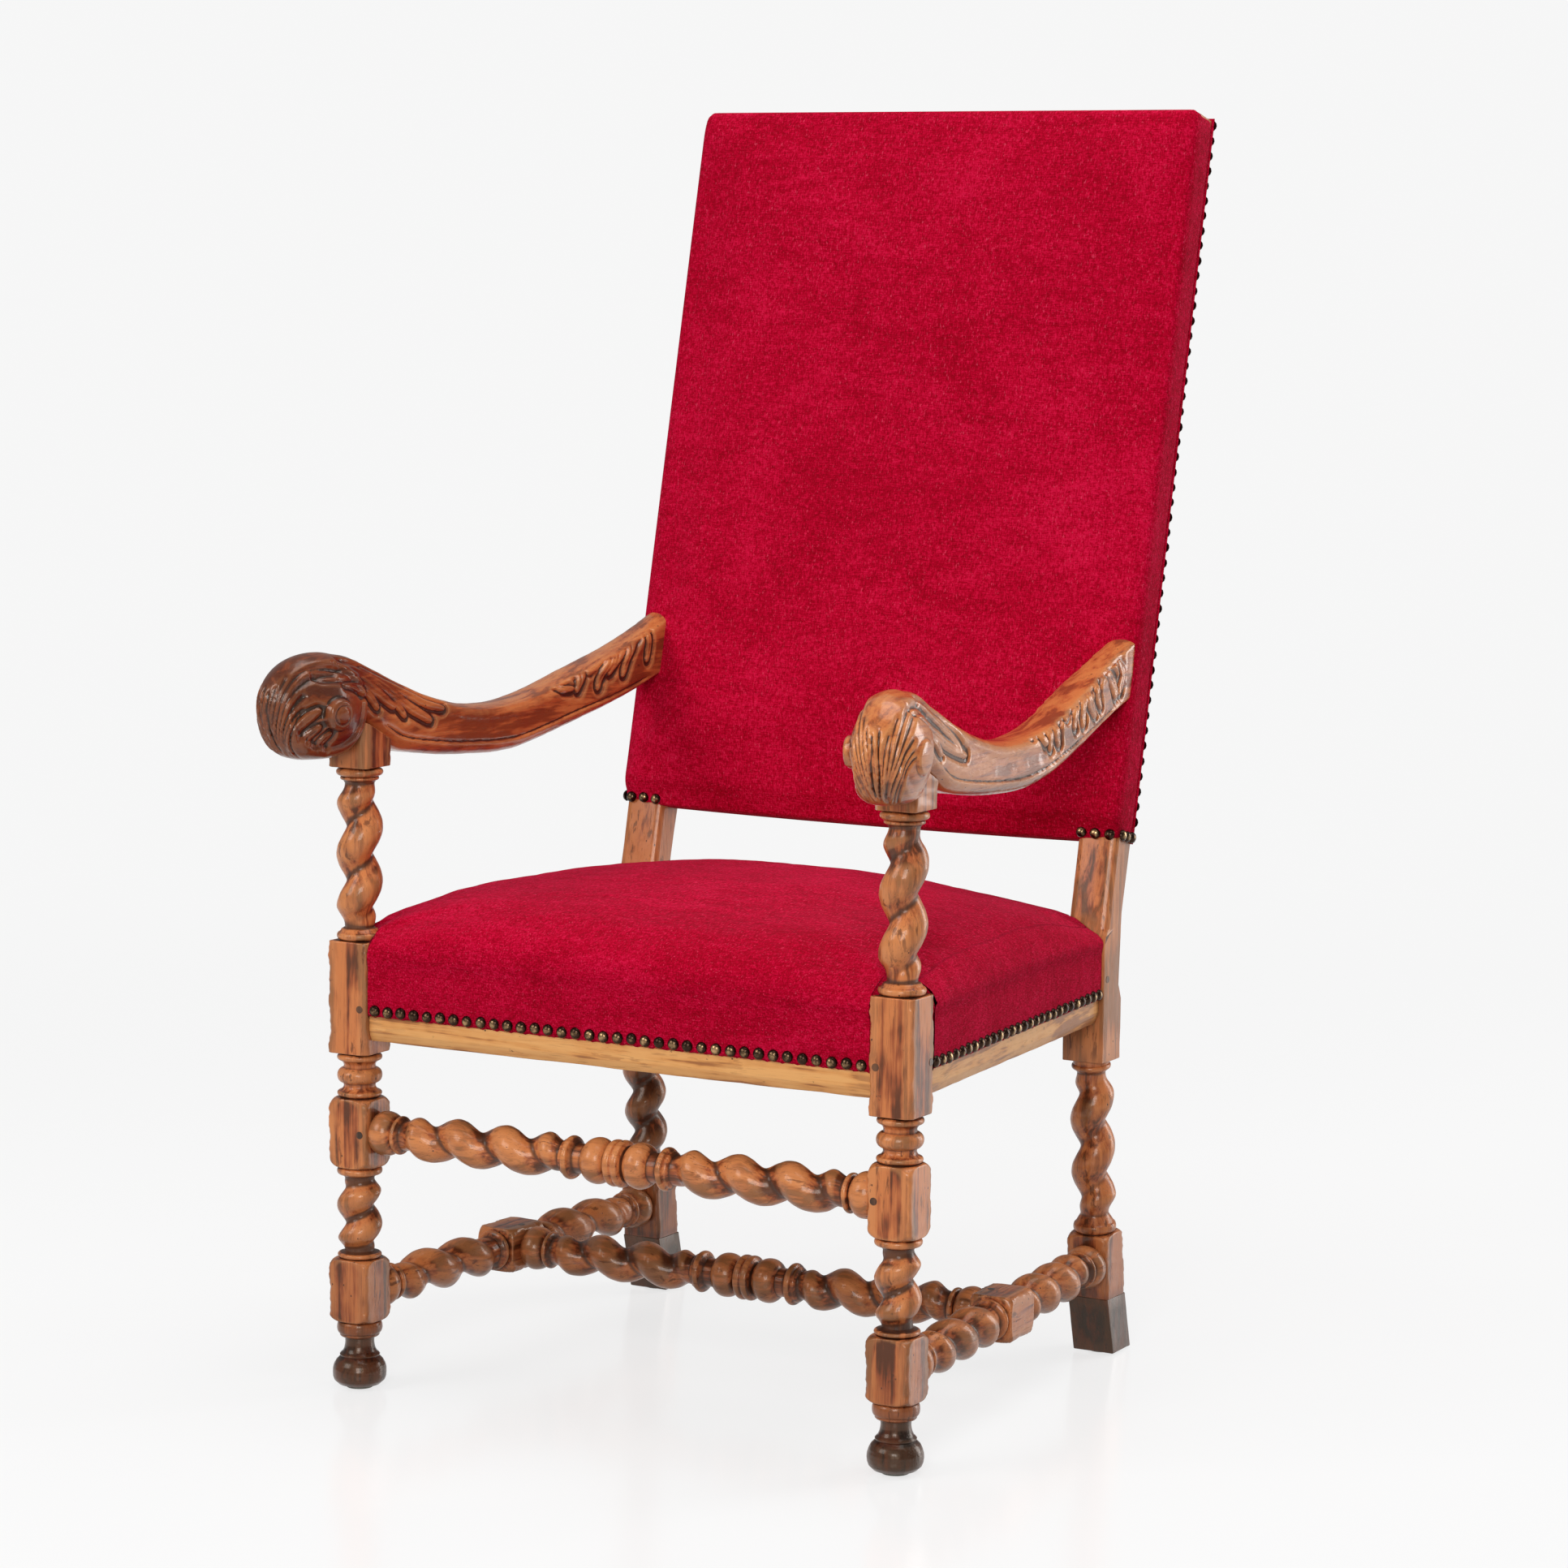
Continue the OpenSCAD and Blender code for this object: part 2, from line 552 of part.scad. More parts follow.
function side_rail_x(y) = mix(front_half, rear_half, (y - half) / (rear_front - half))
    + half - rail_inset;
rear_rail_tenon_y = rear_back - rail_inset - rail_t / 2;
// Section of a rail, outer face at Y = 0, lower outer edge chamfered.
module rail_section() { polygon([[0, rail_chamfer], [rail_chamfer * 0.45, 0], [rail_t, 0],
    [rail_t, rail_h], [0, rail_h]]); }
module front_rail() {
    reach = front_half - half;
    color(pale_wood) difference() {
        union() {
            translate([-reach, -half + rail_inset, rail_z]) rotate([90, 0, 90])
                linear_extrude(2 * reach) rail_section();
            box([-reach - flat_tenon_l, front_tenon_y - flat_tenon / 2, tenon_z],
                [reach + flat_tenon_l, front_tenon_y + flat_tenon / 2, tenon_z + tenon_h]);
        }
        for (side = [-1, 1]) on_side(side) frame_peg_holes();
    }
}
module rear_rail() {
    reach = rear_half - half;
    color(wood) {
        translate([reach, rear_back - rail_inset, rail_z]) rotate([90, 0, -90])
            linear_extrude(2 * reach) rail_section();
        box([-reach - flat_tenon_l, rear_rail_tenon_y - flat_tenon / 2, tenon_z],
            [reach + flat_tenon_l, rear_rail_tenon_y + flat_tenon / 2, tenon_z + tenon_h]);
    }
}
module side_rail(side) {
    run = rear_front - half;
    angle = atan((front_half - rear_half) / run);
    color(pale_wood) on_side(side) difference() {
        union() {
            intersection() {
                translate([side_rail_x(half), half, rail_z]) rotate([0, 0, angle]) translate([0, -20, 0])
                    rotate([90, 0, 180]) linear_extrude(run + 60) rail_section();
                box([150, half, 0], [400, rear_front, 500]);
            }
            box([front_half + side_tenon_x - flat_tenon / 2, half - flat_tenon_l, tenon_z],
                [front_half + side_tenon_x + flat_tenon / 2, half + 12, tenon_z + tenon_h]);
            box([rear_half + side_tenon_x - flat_tenon / 2, rear_front - 12, tenon_z],
                [rear_half + side_tenon_x + flat_tenon / 2, rear_front + flat_tenon_l,
                    tenon_z + tenon_h]);
        }
        frame_peg_holes();
    }
}

/* Pegs. Each hole runs through the wall of a block and through the tenon inside it. */

peg_l = 24;
peg_inset = 7;
// Places a child at each peg of the right hand side: it enters along -Z of the child.
module peg_places() {
    translate([front_half - half + peg_inset, -half, 357.5]) rotate([90, 0, 0]) children();
    translate([front_half - half + peg_inset, -half, mid_axis_z]) rotate([90, 0, 0]) children();
    translate([front_half + half, half - peg_inset + 1, 360]) rotate([0, 90, 0]) children();
    translate([rear_half + half, rear_front + peg_inset + 1, 370]) rotate([0, 90, 0]) children();
}
module peg_hole() { translate([0, 0, -peg_l - end_gap]) cylinder(r = peg_r + fit_gap / 2,
    h = peg_l + end_gap + 1); }
module frame_peg_holes() { peg_places() peg_hole(); }
module cross_peg_place() { translate([cross_face_x + 10, cross_y, low_axis_z + half]) children(); }
module cross_peg_hole() { cross_peg_place() peg_hole(); }
module peg() { translate([0, 0, -peg_l]) cylinder(r = peg_r, h = peg_l + 0.3); }
module joint_pegs() {
    color(dark_wood) for (side = [-1, 1]) on_side(side) {
        peg_places() peg();
        cross_peg_place() peg();
    }
}

/* Arms. Each is one piece: a swept body, a carved scroll in front of the post and a round eye on each side. */

arm_end_half = 14.5;
arm_end_x = rear_half + half - arm_end_half - 0.6;
arm_half = 22;
eye_y = -37;
eye_z = arm_block_z + 49;
eye_out = scroll_side - 2;
arm_tenon_h = 34;
scroll_y = scroll_front + scroll_depth;
scroll_z = arm_block_z + 60;
// How far the arms stand above the height at which they were drawn, and how much longer they are.
arm_lift = arm_block_z - 578;
arm_stretch = rear_front / 431;
function arm_run(y) = y > 0 ? y * arm_stretch : y;
// Ridge and underside of the arm seen from the side, as [y, z] from the scroll to the rear post.
arm_ridge = [[-92, 662], [-66, 682], [-30, 682], [10, 668], [61, 648], [108, 633], [157, 623],
    [212, 620.5],
    [270, 627], [335, 643], [403, 661], [455, 678], [500, 694]];
arm_under = [[-92, 640], [-66, 624], [-23, 623.1], [21, arm_seat_rear], [51, 589], [108, 580.5],
    [157, 576.5], [212, 575],
    [262, 581], [335, 596], [403, 612], [455, 624], [500, 635]];
function arm_x(y) = y > 230 ? mix(272, arm_end_x, ease((y - 230) / 225)) : y > 0 ? mix(286, 272, y / 230)
    : mix(286, scroll_half, min(1, -y / 62));
function arm_w(y) = y > 380 ? mix(arm_half, arm_end_half, ease((y - 380) / 107)) : y > -30 ? arm_half
    : mix(arm_half, 15, ease((-30 - y) / 62));
// Section of the arm: domed above, flat at the sides and chamfered below.
arm_section = [[0, 1], [0.42, 0.97], [0.78, 0.84], [0.96, 0.6], [1, 0.22], [1, -0.6], [0.62, -1],
    [0, -1]];
arm_tenon_z = (arm_ridge[12][1] + arm_under[12][1]) / 2 + arm_lift - arm_tenon_h / 2 - 5.5;
module arm_sweep() {
    n = len(arm_section);
    loop = concat([for (i = [0:n - 1]) arm_section[i]],
        [for (i = [n - 2:-1:1]) [-arm_section[i][0], arm_section[i][1]]]);
    m = len(loop);
    points = [for (i = [0:len(arm_ridge) - 1]) for (k = [0:m - 1]) let(
        top = arm_ridge[i][1] + arm_lift,
        low = arm_under[i][1] + arm_lift,
        y = mix(arm_ridge[i][0], arm_under[i][0], (1 - loop[k][1]) / 2))
        [arm_x(y) + arm_w(y) * loop[k][0], arm_run(y), mix(low, top, (loop[k][1] + 1) / 2)]];
    polyhedron(points, tube_faces(len(arm_ridge), m));
}
// The scroll: an egg-like head whose front is carved into upright ribs that fan out from its lower end.
scroll_angles = concat([for (a = [-80:8:80]) a], [for (a = [104:19:256]) a]);
module scroll_head() {
    m = len(scroll_angles);
    levels = [-76, -58, -40, -20, 0, 20, 40, 58, 74];
    function rib(k) = k < 21 ? (k % 2 == 0 ? 1 : 0.925) : 1;
    points = [for (i = [0:len(levels) - 1]) for (k = [0:m - 1]) let(
        a = scroll_angles[k],
        wide = pow(cos(levels[i]), 0.6),
        deep = pow(cos(levels[i]), 0.85))
        [scroll_half + scroll_side * wide * sin(a) * rib(k),
            scroll_y - scroll_depth * deep * cos(a) * rib(k),
            scroll_z + scroll_rise * sin(levels[i])]];
    polyhedron(points, tube_faces(len(levels), m));
}
arm_cut_z = arm_block_z - half;
module arm(side) {
    color(wood) on_side(side) difference() {
        union() {
            intersection() {
                arm_sweep();
                lean_frame() box([0, -2 * seat_depth, -stock], [2 * rear_half, 0, back_high - lean_z]);
            }
            scroll_head();
            translate([scroll_half, eye_y, eye_z]) rotate([0, 90, 0])
                cylinder(r = eye_r, h = 2 * eye_out, center = true);
            translate([0, post_face_y(arm_tenon_z), arm_tenon_z])
                box([arm_end_x - flat_tenon / 2, -14, 0],
                    [arm_end_x + flat_tenon / 2, flat_tenon_l, arm_tenon_h]);
        }
        // Seat of the arm on the front post and the mortise of the post's dowel.
        translate([front_half - 2 * stock, 0, 0]) rotate([90, 0, 90]) linear_extrude(4 * stock) polygon([
            [-half - 0.6, arm_cut_z], [2 * stock, arm_cut_z],
            [2 * stock, arm_seat_rear - (2 * stock - half) * (arm_seat_front - arm_seat_rear) / stock - 12],
            [half, arm_seat_rear + touch], [-half - 0.6, arm_seat_front + touch + 0.3]]);
        translate([front_half, 0, arm_cut_z]) cylinder(r = arm_dowel_r + fit_gap,
            h = arm_dowel_z - arm_cut_z + end_gap);
    }
}

/* Frame of the back, in the back's own leaning frame */

back_rail_t = 24;
back_rail_tenon_y = back_rail_t / 2;
low_rail_h = 55;
top_rail_h = 62;
low_rail_s = back_s0 + velvet + fit_gap;
top_rail_s = wood_s1 - top_rail_h;
module back_rail(s0, h, inset) {
    reach = rear_half - half;
    color(pale_wood) lean_frame() {
        box([-reach, 0, s0], [reach, back_rail_t, s0 + h]);
        box([-reach - flat_tenon_l, back_rail_tenon_y - flat_tenon / 2, s0 + inset],
            [reach + flat_tenon_l, back_rail_tenon_y + flat_tenon / 2, s0 + h - inset]);
    }
}
module back_top_rail() { back_rail(top_rail_s, top_rail_h, 12); }
module back_bottom_rail() { back_rail(low_rail_s, low_rail_h, 10); }

/* Upholstery. A loop is a rounded quadrilateral, a padded form is a stack of loops closed at both ends. */

web_t = 1.5;
hessian_t = 0.8;
strap_w = 52;
corner_points = 5;
side_points = 4;
loop_points = 4 * (corner_points + side_points);
// Loop in the plane, counter-clockwise from the lower left corner, inside [-hw, hw] by [v0, v1].
function quad_loop(hw, v0, v1, r) = [for (j = [0:3]) let(
        cu = (j == 0 || j == 3 ? -1 : 1) * (hw - r), cv = j < 2 ? v0 + r : v1 - r,
        nu = (j == 0 ? 1 : j == 1 ? 1 : -1), nv = 0)
    each concat(
        [for (i = [0:corner_points - 1]) let(a = 180 + 90 * j + 90 * i / (corner_points - 1)) [cu
            + r * cos(a), cv + r * sin(a)]],
        [for (i = [1:side_points]) let(f = i / (side_points + 1))
            j == 0 ? [mix(-hw + r, hw - r, f), v0] : j == 1 ? [hw, mix(v0 + r, v1 - r, f)] :
            j == 2 ? [mix(hw - r, -hw + r, f), v1] : [-hw, mix(v1 - r, v0 + r, f)]])];
// How far a point of a loop belongs to the loop's lower side: 1 along that side and 0 past its corners.
function lower_share(k) = k < corner_points ? ease(k / (corner_points - 1)) : k < corner_points
    + side_points ? 1
    : k < 2 * corner_points + side_points ? ease(1 - (k - corner_points - side_points) / (corner_points - 1)) : 0;
// A closed form: first centre, loops going outwards and round, last centre.
module padded(first, loops, last) {
    n = loop_points;
    m = len(loops);
    points = concat([first], [for (q = loops) each q], [last]);
    polyhedron(points, concat(
        [for (k = [0:n - 1]) [0, 1 + (k + 1) % n, 1 + k]],
        [for (i = [0:m - 2]) for (k = [0:n - 1]) let(a = 1 + i * n, b = a + n, k1 = (k + 1) % n) each [
            [b + k, a + k, a + k1], [b + k, a + k1, b + k1]]],
        [for (k = [0:n - 1]) let(a = 1 + (m - 1) * n) [a + k, a + (k + 1) % n, 1 + m * n]]));
}

// Seat. The plan narrows towards the back in step with the side rails.
seat_front_y = -half + rail_inset;
seat_rear_y = rear_back - rail_inset;
seat_mid_y = seat_depth * 0.4545;
web_step = front_half * 0.318;
seat_web_z = rail_top;
seat_low_z = seat_web_z + 2 * web_t + hessian_t + 0.1;
// How far the stuffing sinks towards the posts and the rear rail, full above the seat's upright sides.
function seat_sink(x, y, z) = max(0, min(1, (z - rail_top) / 40)) * (
    14 * exp(-(pow(x - front_half + 10, 2) + y * y) / 4900)
    + 20 * exp(-(pow(x - rear_half + 4, 2) + pow(y - rear_front - 24, 2)) / 14400)
    + 3 * exp(-pow(seat_rear_y - y, 2) / 6400));
// Loop of the seat at an inset from the rail faces, at a height.
function seat_loop(inset, z) = let(
        hw = side_rail_x(seat_front_y) - inset,
        half_run = (seat_rear_y - seat_front_y) / 2 - inset,
        q = quad_loop(hw, seat_front_y + inset, seat_rear_y - inset, inset < 0 ? 6 : min(6 + inset, 0.9 * half_run)))
    [for (p = q) let(x = p[0] * (side_rail_x(p[1]) - inset) / hw) [x, p[1], z - seat_sink(abs(x), p[1], z)]];
// Insets of the seat's surface and its depth below the crown, from the crown to its upright side.
function seat_rings(offset) = [
    for (q = [[185, 1], [145, 6.5], [98, 14], [60, 20], [28, 27], [12, 34], [2, 43], [-3.5, 54]])
        [q[0] + offset, seat_crown - q[1] - offset]];
module seat_cover() {
    outer = -fit_gap - velvet;
    hem = velvet_low - 4;
    color(red) difference() {
        intersection() {
            box([-2 * front_half, -3 * stock, velvet_low],
                [2 * front_half, 2 * seat_depth, 2 * seat_crown]);
            padded([0, seat_mid_y, seat_crown], concat(
                [for (q = seat_rings(0)) seat_loop(q[0] + outer, q[1])],
                [seat_loop(outer - seat_swell * 0.8, 412), seat_loop(outer, 400), seat_loop(outer, hem),
                    seat_loop(-fit_gap, hem), seat_loop(-fit_gap, 401),
                        seat_loop(-fit_gap - seat_swell * 0.8, 412)],
                [for (i = [7:-1:0]) let(q = seat_rings(velvet)[i]) seat_loop(q[0] + outer, q[1])]),
                [0, seat_mid_y, seat_crown - velvet]);
        }
        seat_post_room(0.3);
    }
}
// Room for the posts, cut through the upholstery of the seat.
module seat_post_room(gap) {
    for (side = [-1, 1]) on_side(side) {
        box([front_half - half - gap, -3 * stock, rail_z / 2],
            [2 * front_half, half + gap, 2 * seat_crown]);
        box([rear_half - half - gap, rear_front - gap, rail_z / 2],
            [2 * front_half, 2 * seat_depth, 2 * seat_crown]);
    }
}
module seat_stuffing() {
    grow = -fit_gap - 0.1;
    color("#8d7a58") difference() {
        intersection() {
            box([-2 * front_half, -3 * stock, seat_low_z],
                [2 * front_half, 2 * seat_depth, 2 * seat_crown]);
            padded([0, seat_mid_y, seat_crown - velvet - 0.5], concat(
                [for (q = seat_rings(velvet + 0.5)) seat_loop(q[0] + grow - velvet, q[1])],
                [seat_loop(grow - seat_swell * 0.7 + 0.6, 411), seat_loop(grow + 1, seat_low_z - 4)]),
                [0, seat_mid_y, seat_low_z - 4]);
        }
        seat_post_room(0.5);
    }
}
module seat_webbing() {
    color(jute) difference() {
        union() {
            for (i = [-2:2]) {
                x = i * web_step;
                box([x - strap_w / 2, seat_front_y + 2, seat_web_z],
                    [x + strap_w / 2, seat_rear_y - 2, seat_web_z + web_t]);
            }
            for (i = [0:3]) intersection() {
                y = seat_mid_y + (i - 1.5) * web_step;
                box([-2 * front_half, y - strap_w / 2, seat_web_z + web_t + 0.02],
                    [2 * front_half, y + strap_w / 2, seat_web_z + 2 * web_t]);
                seat_sheet(3, 390, 420);
            }
        }
        seat_post_room(0.5);
    }
}
// Flat sheet with the seat's plan, inset from the rail faces.
module seat_sheet(inset, z0, z1) {
    translate([0, 0, z0]) linear_extrude(z1 - z0) polygon([for (p = seat_loop(inset, 0)) [p[0], p[1]]]);
}
module seat_hessian() {
    color(jute) difference() {
        seat_sheet(2, seat_web_z + 2 * web_t + 0.02, seat_web_z + 2 * web_t + hessian_t);
        seat_post_room(0.5);
    }
}

// Back, in the back's own frame: loops in X and Z, depth along -Y.
pad_low = pad_edge + 4;
pad_high = pad_edge - 3;
back_bow = 3;
back_hw = rear_half + half + fit_gap + velvet;
function pad_depth(s) = mix(pad_low, pad_high, (s - back_s0) / (back_s1 - back_s0));
// Loop of the back at an inset from the outer face; depth is fixed plus a share of the local padding.
// The lower side has its own inset, depth and share, since it stays flat against the posts under its nails.
function back_loop(q, offset) = let(
        side_in = q[0] + offset, low_in = q[3] + offset,
        loop = quad_loop(back_hw - side_in, back_s0 + side_in, back_s1 - side_in,
            max(3, 4 + 0.5 * side_in)))
    [for (k = [0:loop_points - 1]) let(
        p = loop[k], low = lower_share(k),
        s = p[1] + (low_in - side_in - back_bow * (1 - pow(p[0] / back_hw, 2))) * low,
        fixed = mix(q[1], q[4], low), share = mix(q[2], q[5], low))
        [p[0], -(fixed + share * pad_depth(s)) + offset * (q[6]), s]];
// Side inset, fixed depth, padding share, lower inset, fixed depth, padding share and how far an offset moves it in.
back_rings = [
    [180, pad_crown * 0.97, 1, 150, pad_crown * 0.97, 1, 1],
    [110, pad_crown * 0.8, 1, 100, pad_crown * 0.85, 1, 1],
    [55, pad_crown * 0.42, 1, 60, pad_crown * 0.5, 1, 1],
    [20, pad_crown * 0.08, 1, 30, pad_crown * 0.1, 1, 1],
    [7, 0, 0.84, 18, 0, 0.8, 0.8],
    [1, 0, 0.5, 14, velvet, 0.2, 0.5],
    [-1.5, 0, 0.1, 12.6, velvet + fit_gap, 0, 0]];
module back_cover() {
    color(red) lean_frame() difference() {
        padded([0, -pad_depth(500) - pad_crown, 480], concat(
            [for (q = back_rings) back_loop(q, 0)],
            [back_loop([0, 0, 0, 0, 1, 0, 0], 0), back_loop([0, -post_d, 0, 0, -post_d, 0, 0], 0),
                back_loop([0, -post_d, 0, 0, -post_d, 0, 0], velvet),
                    back_loop([0, 0, 0, 0, -1, 0, 0], velvet)],
            [for (i = [5:-1:0]) back_loop(back_rings[i], velvet)]),
            [0, -pad_depth(500) - pad_crown + velvet, 480]);
        back_post_room(fit_gap);
        arm_room(1);
    }
}
// Room for the posts in the back's own frame.
module back_post_room(gap) {
    for (side = [-1, 1]) on_side(side)
        box([rear_half - half - gap, -gap, -50], [rear_half + half + gap, post_d + 10, wood_s1 + gap]);
}
// Room for the end of each arm.
module arm_room(gap) {
    for (side = [-1, 1]) on_side(side) translate([arm_end_x - arm_end_half - gap - 2, 0, 0])
        rotate([90, 0, 90])
        linear_extrude(2 * arm_end_half + 2 + gap + 0.5)
            polygon([[-40, arm_room_s(-40, 0) - gap], [1, arm_room_s(1, 0) - gap],
            [1, arm_room_s(1, 1) + gap], [-40, arm_room_s(-40, 1) + gap]]);
}
// Height in the back's frame of the arm's underside or ridge at a depth.
function arm_room_s(y, upper) = let(base = (upper > 0 ? 690.6 : 630.6) + arm_lift,
    rise = upper > 0 ? 0.34 : 0.24)
    (base - lean_z) / cos(lean_angle) + 4 * upper + y * (rise * cos(lean_angle)
        + sin(lean_angle)) / cos(lean_angle) - 1.5;
module back_stuffing() {
    flat = 2 * web_t + hessian_t + 0.2;
    color("#8d7a58") lean_frame() difference() {
        intersection() {
            padded([0, -pad_depth(500) - pad_crown + velvet + 0.1, 480], concat(
                [for (i = [0:5]) back_loop(back_rings[i], velvet + 0.1)],
                [back_loop([3, -4, 0, 16, -4, 0, 0], velvet)]), [0, 4, 480]);
            box([-400, -60, 0], [400, -flat, 900]);
        }
        arm_room(1.5);
    }
}
module back_webbing() {
    color(jute) lean_frame() difference() {
        union() {
            for (x = [-150:75:150]) box([x - strap_w / 2, -web_t, back_s0 + 20],
                [x + strap_w / 2, -0.02, wood_s1 - 8]);
            for (s = [back_s0 + 150:110:wood_s1 - 110])
                box([-rear_half - half + 8, -2 * web_t, s - strap_w / 2],
                    [rear_half + half - 8, -web_t - 0.02, s + strap_w / 2]);
        }
        arm_room(2);
    }
}
module back_hessian() {
    color(jute) lean_frame() difference() {
        box([-rear_half - half + 6, -2 * web_t - hessian_t, back_s0 + 18],
            [rear_half + half - 6, -2 * web_t - 0.02, wood_s1 - 6]);
        arm_room(2);
    }
}
module outside_back() {
    color(red) lean_frame() translate([0, post_d + velvet, 0]) rotate([90, 0, 0])
        linear_extrude(velvet - touch)
        polygon([for (p = quad_loop(back_hw, back_s0 + 0.5, back_s1, 4)) p]);
}

/* Domed nails. Each stands on the velvet with its flat rim. */

module nail() {
    rotate_extrude($fn = 20) polygon([[0, 0], [nail_d / 2, 0], [nail_d / 2 * 0.93, nail_h * 0.34],
        [nail_d / 2 * 0.72, nail_h * 0.68], [nail_d / 2 * 0.38, nail_h * 0.92], [0, nail_h]]);
}
nail_z = velvet_low + 7;
nail_out = fit_gap + velvet + 0.02;
module seat_front_nails() {
    reach = front_half - half - 8;
    color(brass) for (i = [0:front_nail_count - 1])
        translate([mix(-reach, reach, i / (front_nail_count - 1)), seat_front_y - nail_out, nail_z])
            rotate([90, 0, 0]) nail();
}
module seat_side_nails(side) {
    angle = atan((front_half - rear_half) / (rear_front - half));
    color(brass) on_side(side) for (i = [0:side_nail_count - 1]) {
        y = mix(half + 8, rear_front - 8, i / (side_nail_count - 1));
        translate([side_rail_x(y), y, nail_z]) rotate([0, 0, angle]) translate([nail_out, 0, 0])
            rotate([0, 90, 0]) nail();
    }
}
module seat_rear_nails() {
    reach = rear_half - half - 9;
    count = front_nail_count - 6;
    color(brass) for (i = [0:count - 1])
        translate([mix(-reach, reach, i / (count - 1)), seat_rear_y + nail_out, nail_z])
            rotate([-90, 0, 0]) nail();
}
// Three nails across the front and three down the side of the velvet's lower end at each rear post.
module back_lower_nails() {
    color(brass) lean_frame() for (side = [-1, 1]) on_side(side) for (i = [0:2]) {
        translate([rear_half - half + 6 + 14.4 * i, -nail_out - 0.1, back_s0 + 5.7]) rotate([90, 0, 0])
            nail();
        translate([back_hw + 0.05, 6.2 + 10.6 * i, back_s0 + 6.4]) rotate([0, 90, 0]) nail();
    }
}
module outside_back_nails(side) {
    run = back_s1 - back_s0 - 14;
    count = floor(run / back_nail_step);
    color(brass) lean_frame() for (i = [0:count]) translate([side * (rear_half + half),
        post_d + velvet + touch, back_s0 + 7 + run * i / count])
        rotate([-90, 0, 0]) nail();
}
module outside_back_nails_ends() {
    reach = rear_half + half - 15;
    count = floor(2 * reach / back_nail_step);
    color(brass) lean_frame() for (i = [0:count]) for (s = [back_s0 + 7, back_s1 - 6])
        translate([mix(-reach, reach, i / count), post_d + velvet + touch, s]) rotate([-90, 0, 0]) nail();
}

/* Placing: the middle of the plan comes to the origin. */

back_reach = rear_front + (back_s1 - 6) * sin(lean_angle) + 0.19 * nail_d * sin(lean_angle)
    + (post_d + velvet + touch + 0.92 * nail_h) * cos(lean_angle);
plan_shift = -(scroll_front + back_reach) / 2;
module place() { translate([0, plan_shift, 0]) children(); }

place() front_post(-1);  // front_post_left
place() front_post(1);  // front_post_right
place() front_foot(-1);  // front_foot_left
place() front_foot(1);  // front_foot_right
place() rear_post(-1);  // rear_post_left
place() rear_post(1);  // rear_post_right
place() rear_foot(-1);  // rear_foot_left
place() rear_foot(1);  // rear_foot_right
place() foot_pads();
place() front_stretcher();
place() side_stretcher(-1);  // side_stretcher_left
place() side_stretcher(1);  // side_stretcher_right
place() cross_stretcher();
place() front_rail();
place() rear_rail();
place() side_rail(-1);  // side_rail_left
place() side_rail(1);  // side_rail_right
place() joint_pegs();
place() arm(-1);  // arm_left
place() arm(1);  // arm_right
place() back_top_rail();
place() back_bottom_rail();
place() seat_webbing();
place() seat_hessian();
place() seat_stuffing();
place() seat_cover();
place() back_webbing();
place() back_hessian();
place() back_stuffing();
place() back_cover();
place() outside_back();
place() seat_front_nails();
place() seat_side_nails(-1);  // seat_side_nails_left
place() seat_side_nails(1);  // seat_side_nails_right
place() seat_rear_nails();
place() back_lower_nails();
place() outside_back_nails(-1);  // outside_back_nails_left
place() outside_back_nails(1);  // outside_back_nails_right
place() outside_back_nails_ends();
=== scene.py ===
"""Looks of a high-backed open armchair in turned and carved wood with red velvet.

Sizes are in millimetres in the chair's own plan: it faces -Y, Y = 0 is the line through the axes
of the front posts, X = 0 is the middle and Z = 0 the floor. A finished mesh is put in the frame
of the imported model, in metres.
"""
import logging
import math
from dataclasses import dataclass, field
from enum import Enum
from typing import Callable, Sequence

import bmesh
import bpy
import numpy as np
from mathutils import Matrix, Vector, noise


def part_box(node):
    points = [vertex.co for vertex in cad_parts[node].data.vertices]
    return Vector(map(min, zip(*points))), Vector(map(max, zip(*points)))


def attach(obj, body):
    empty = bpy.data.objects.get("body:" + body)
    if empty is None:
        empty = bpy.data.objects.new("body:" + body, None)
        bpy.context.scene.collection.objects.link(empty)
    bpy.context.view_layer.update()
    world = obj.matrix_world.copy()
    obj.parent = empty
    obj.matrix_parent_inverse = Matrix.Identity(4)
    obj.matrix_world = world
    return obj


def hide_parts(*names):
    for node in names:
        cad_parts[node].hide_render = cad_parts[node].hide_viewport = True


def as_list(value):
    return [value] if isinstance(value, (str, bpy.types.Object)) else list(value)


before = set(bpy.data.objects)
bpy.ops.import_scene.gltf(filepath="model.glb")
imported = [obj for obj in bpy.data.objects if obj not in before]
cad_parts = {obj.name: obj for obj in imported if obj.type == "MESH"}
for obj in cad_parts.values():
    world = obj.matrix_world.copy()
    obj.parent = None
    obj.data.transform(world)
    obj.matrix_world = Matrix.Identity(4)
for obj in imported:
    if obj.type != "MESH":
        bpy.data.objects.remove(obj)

log = logging.getLogger("armchair")
Profile = list[tuple[float, float]]
Colour = tuple[float, float, float]
Array = np.ndarray
Form = bmesh.types.BMesh
Number = float | np.ndarray
Socket = bpy.types.NodeSocket
Value = float | tuple | bpy.types.NodeSocket

MM, METRE = 0.001, 1000
PLAN_SHIFT = METRE * float(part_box("front_foot_left")[0][1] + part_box("front_foot_left")[1][1]) / 2

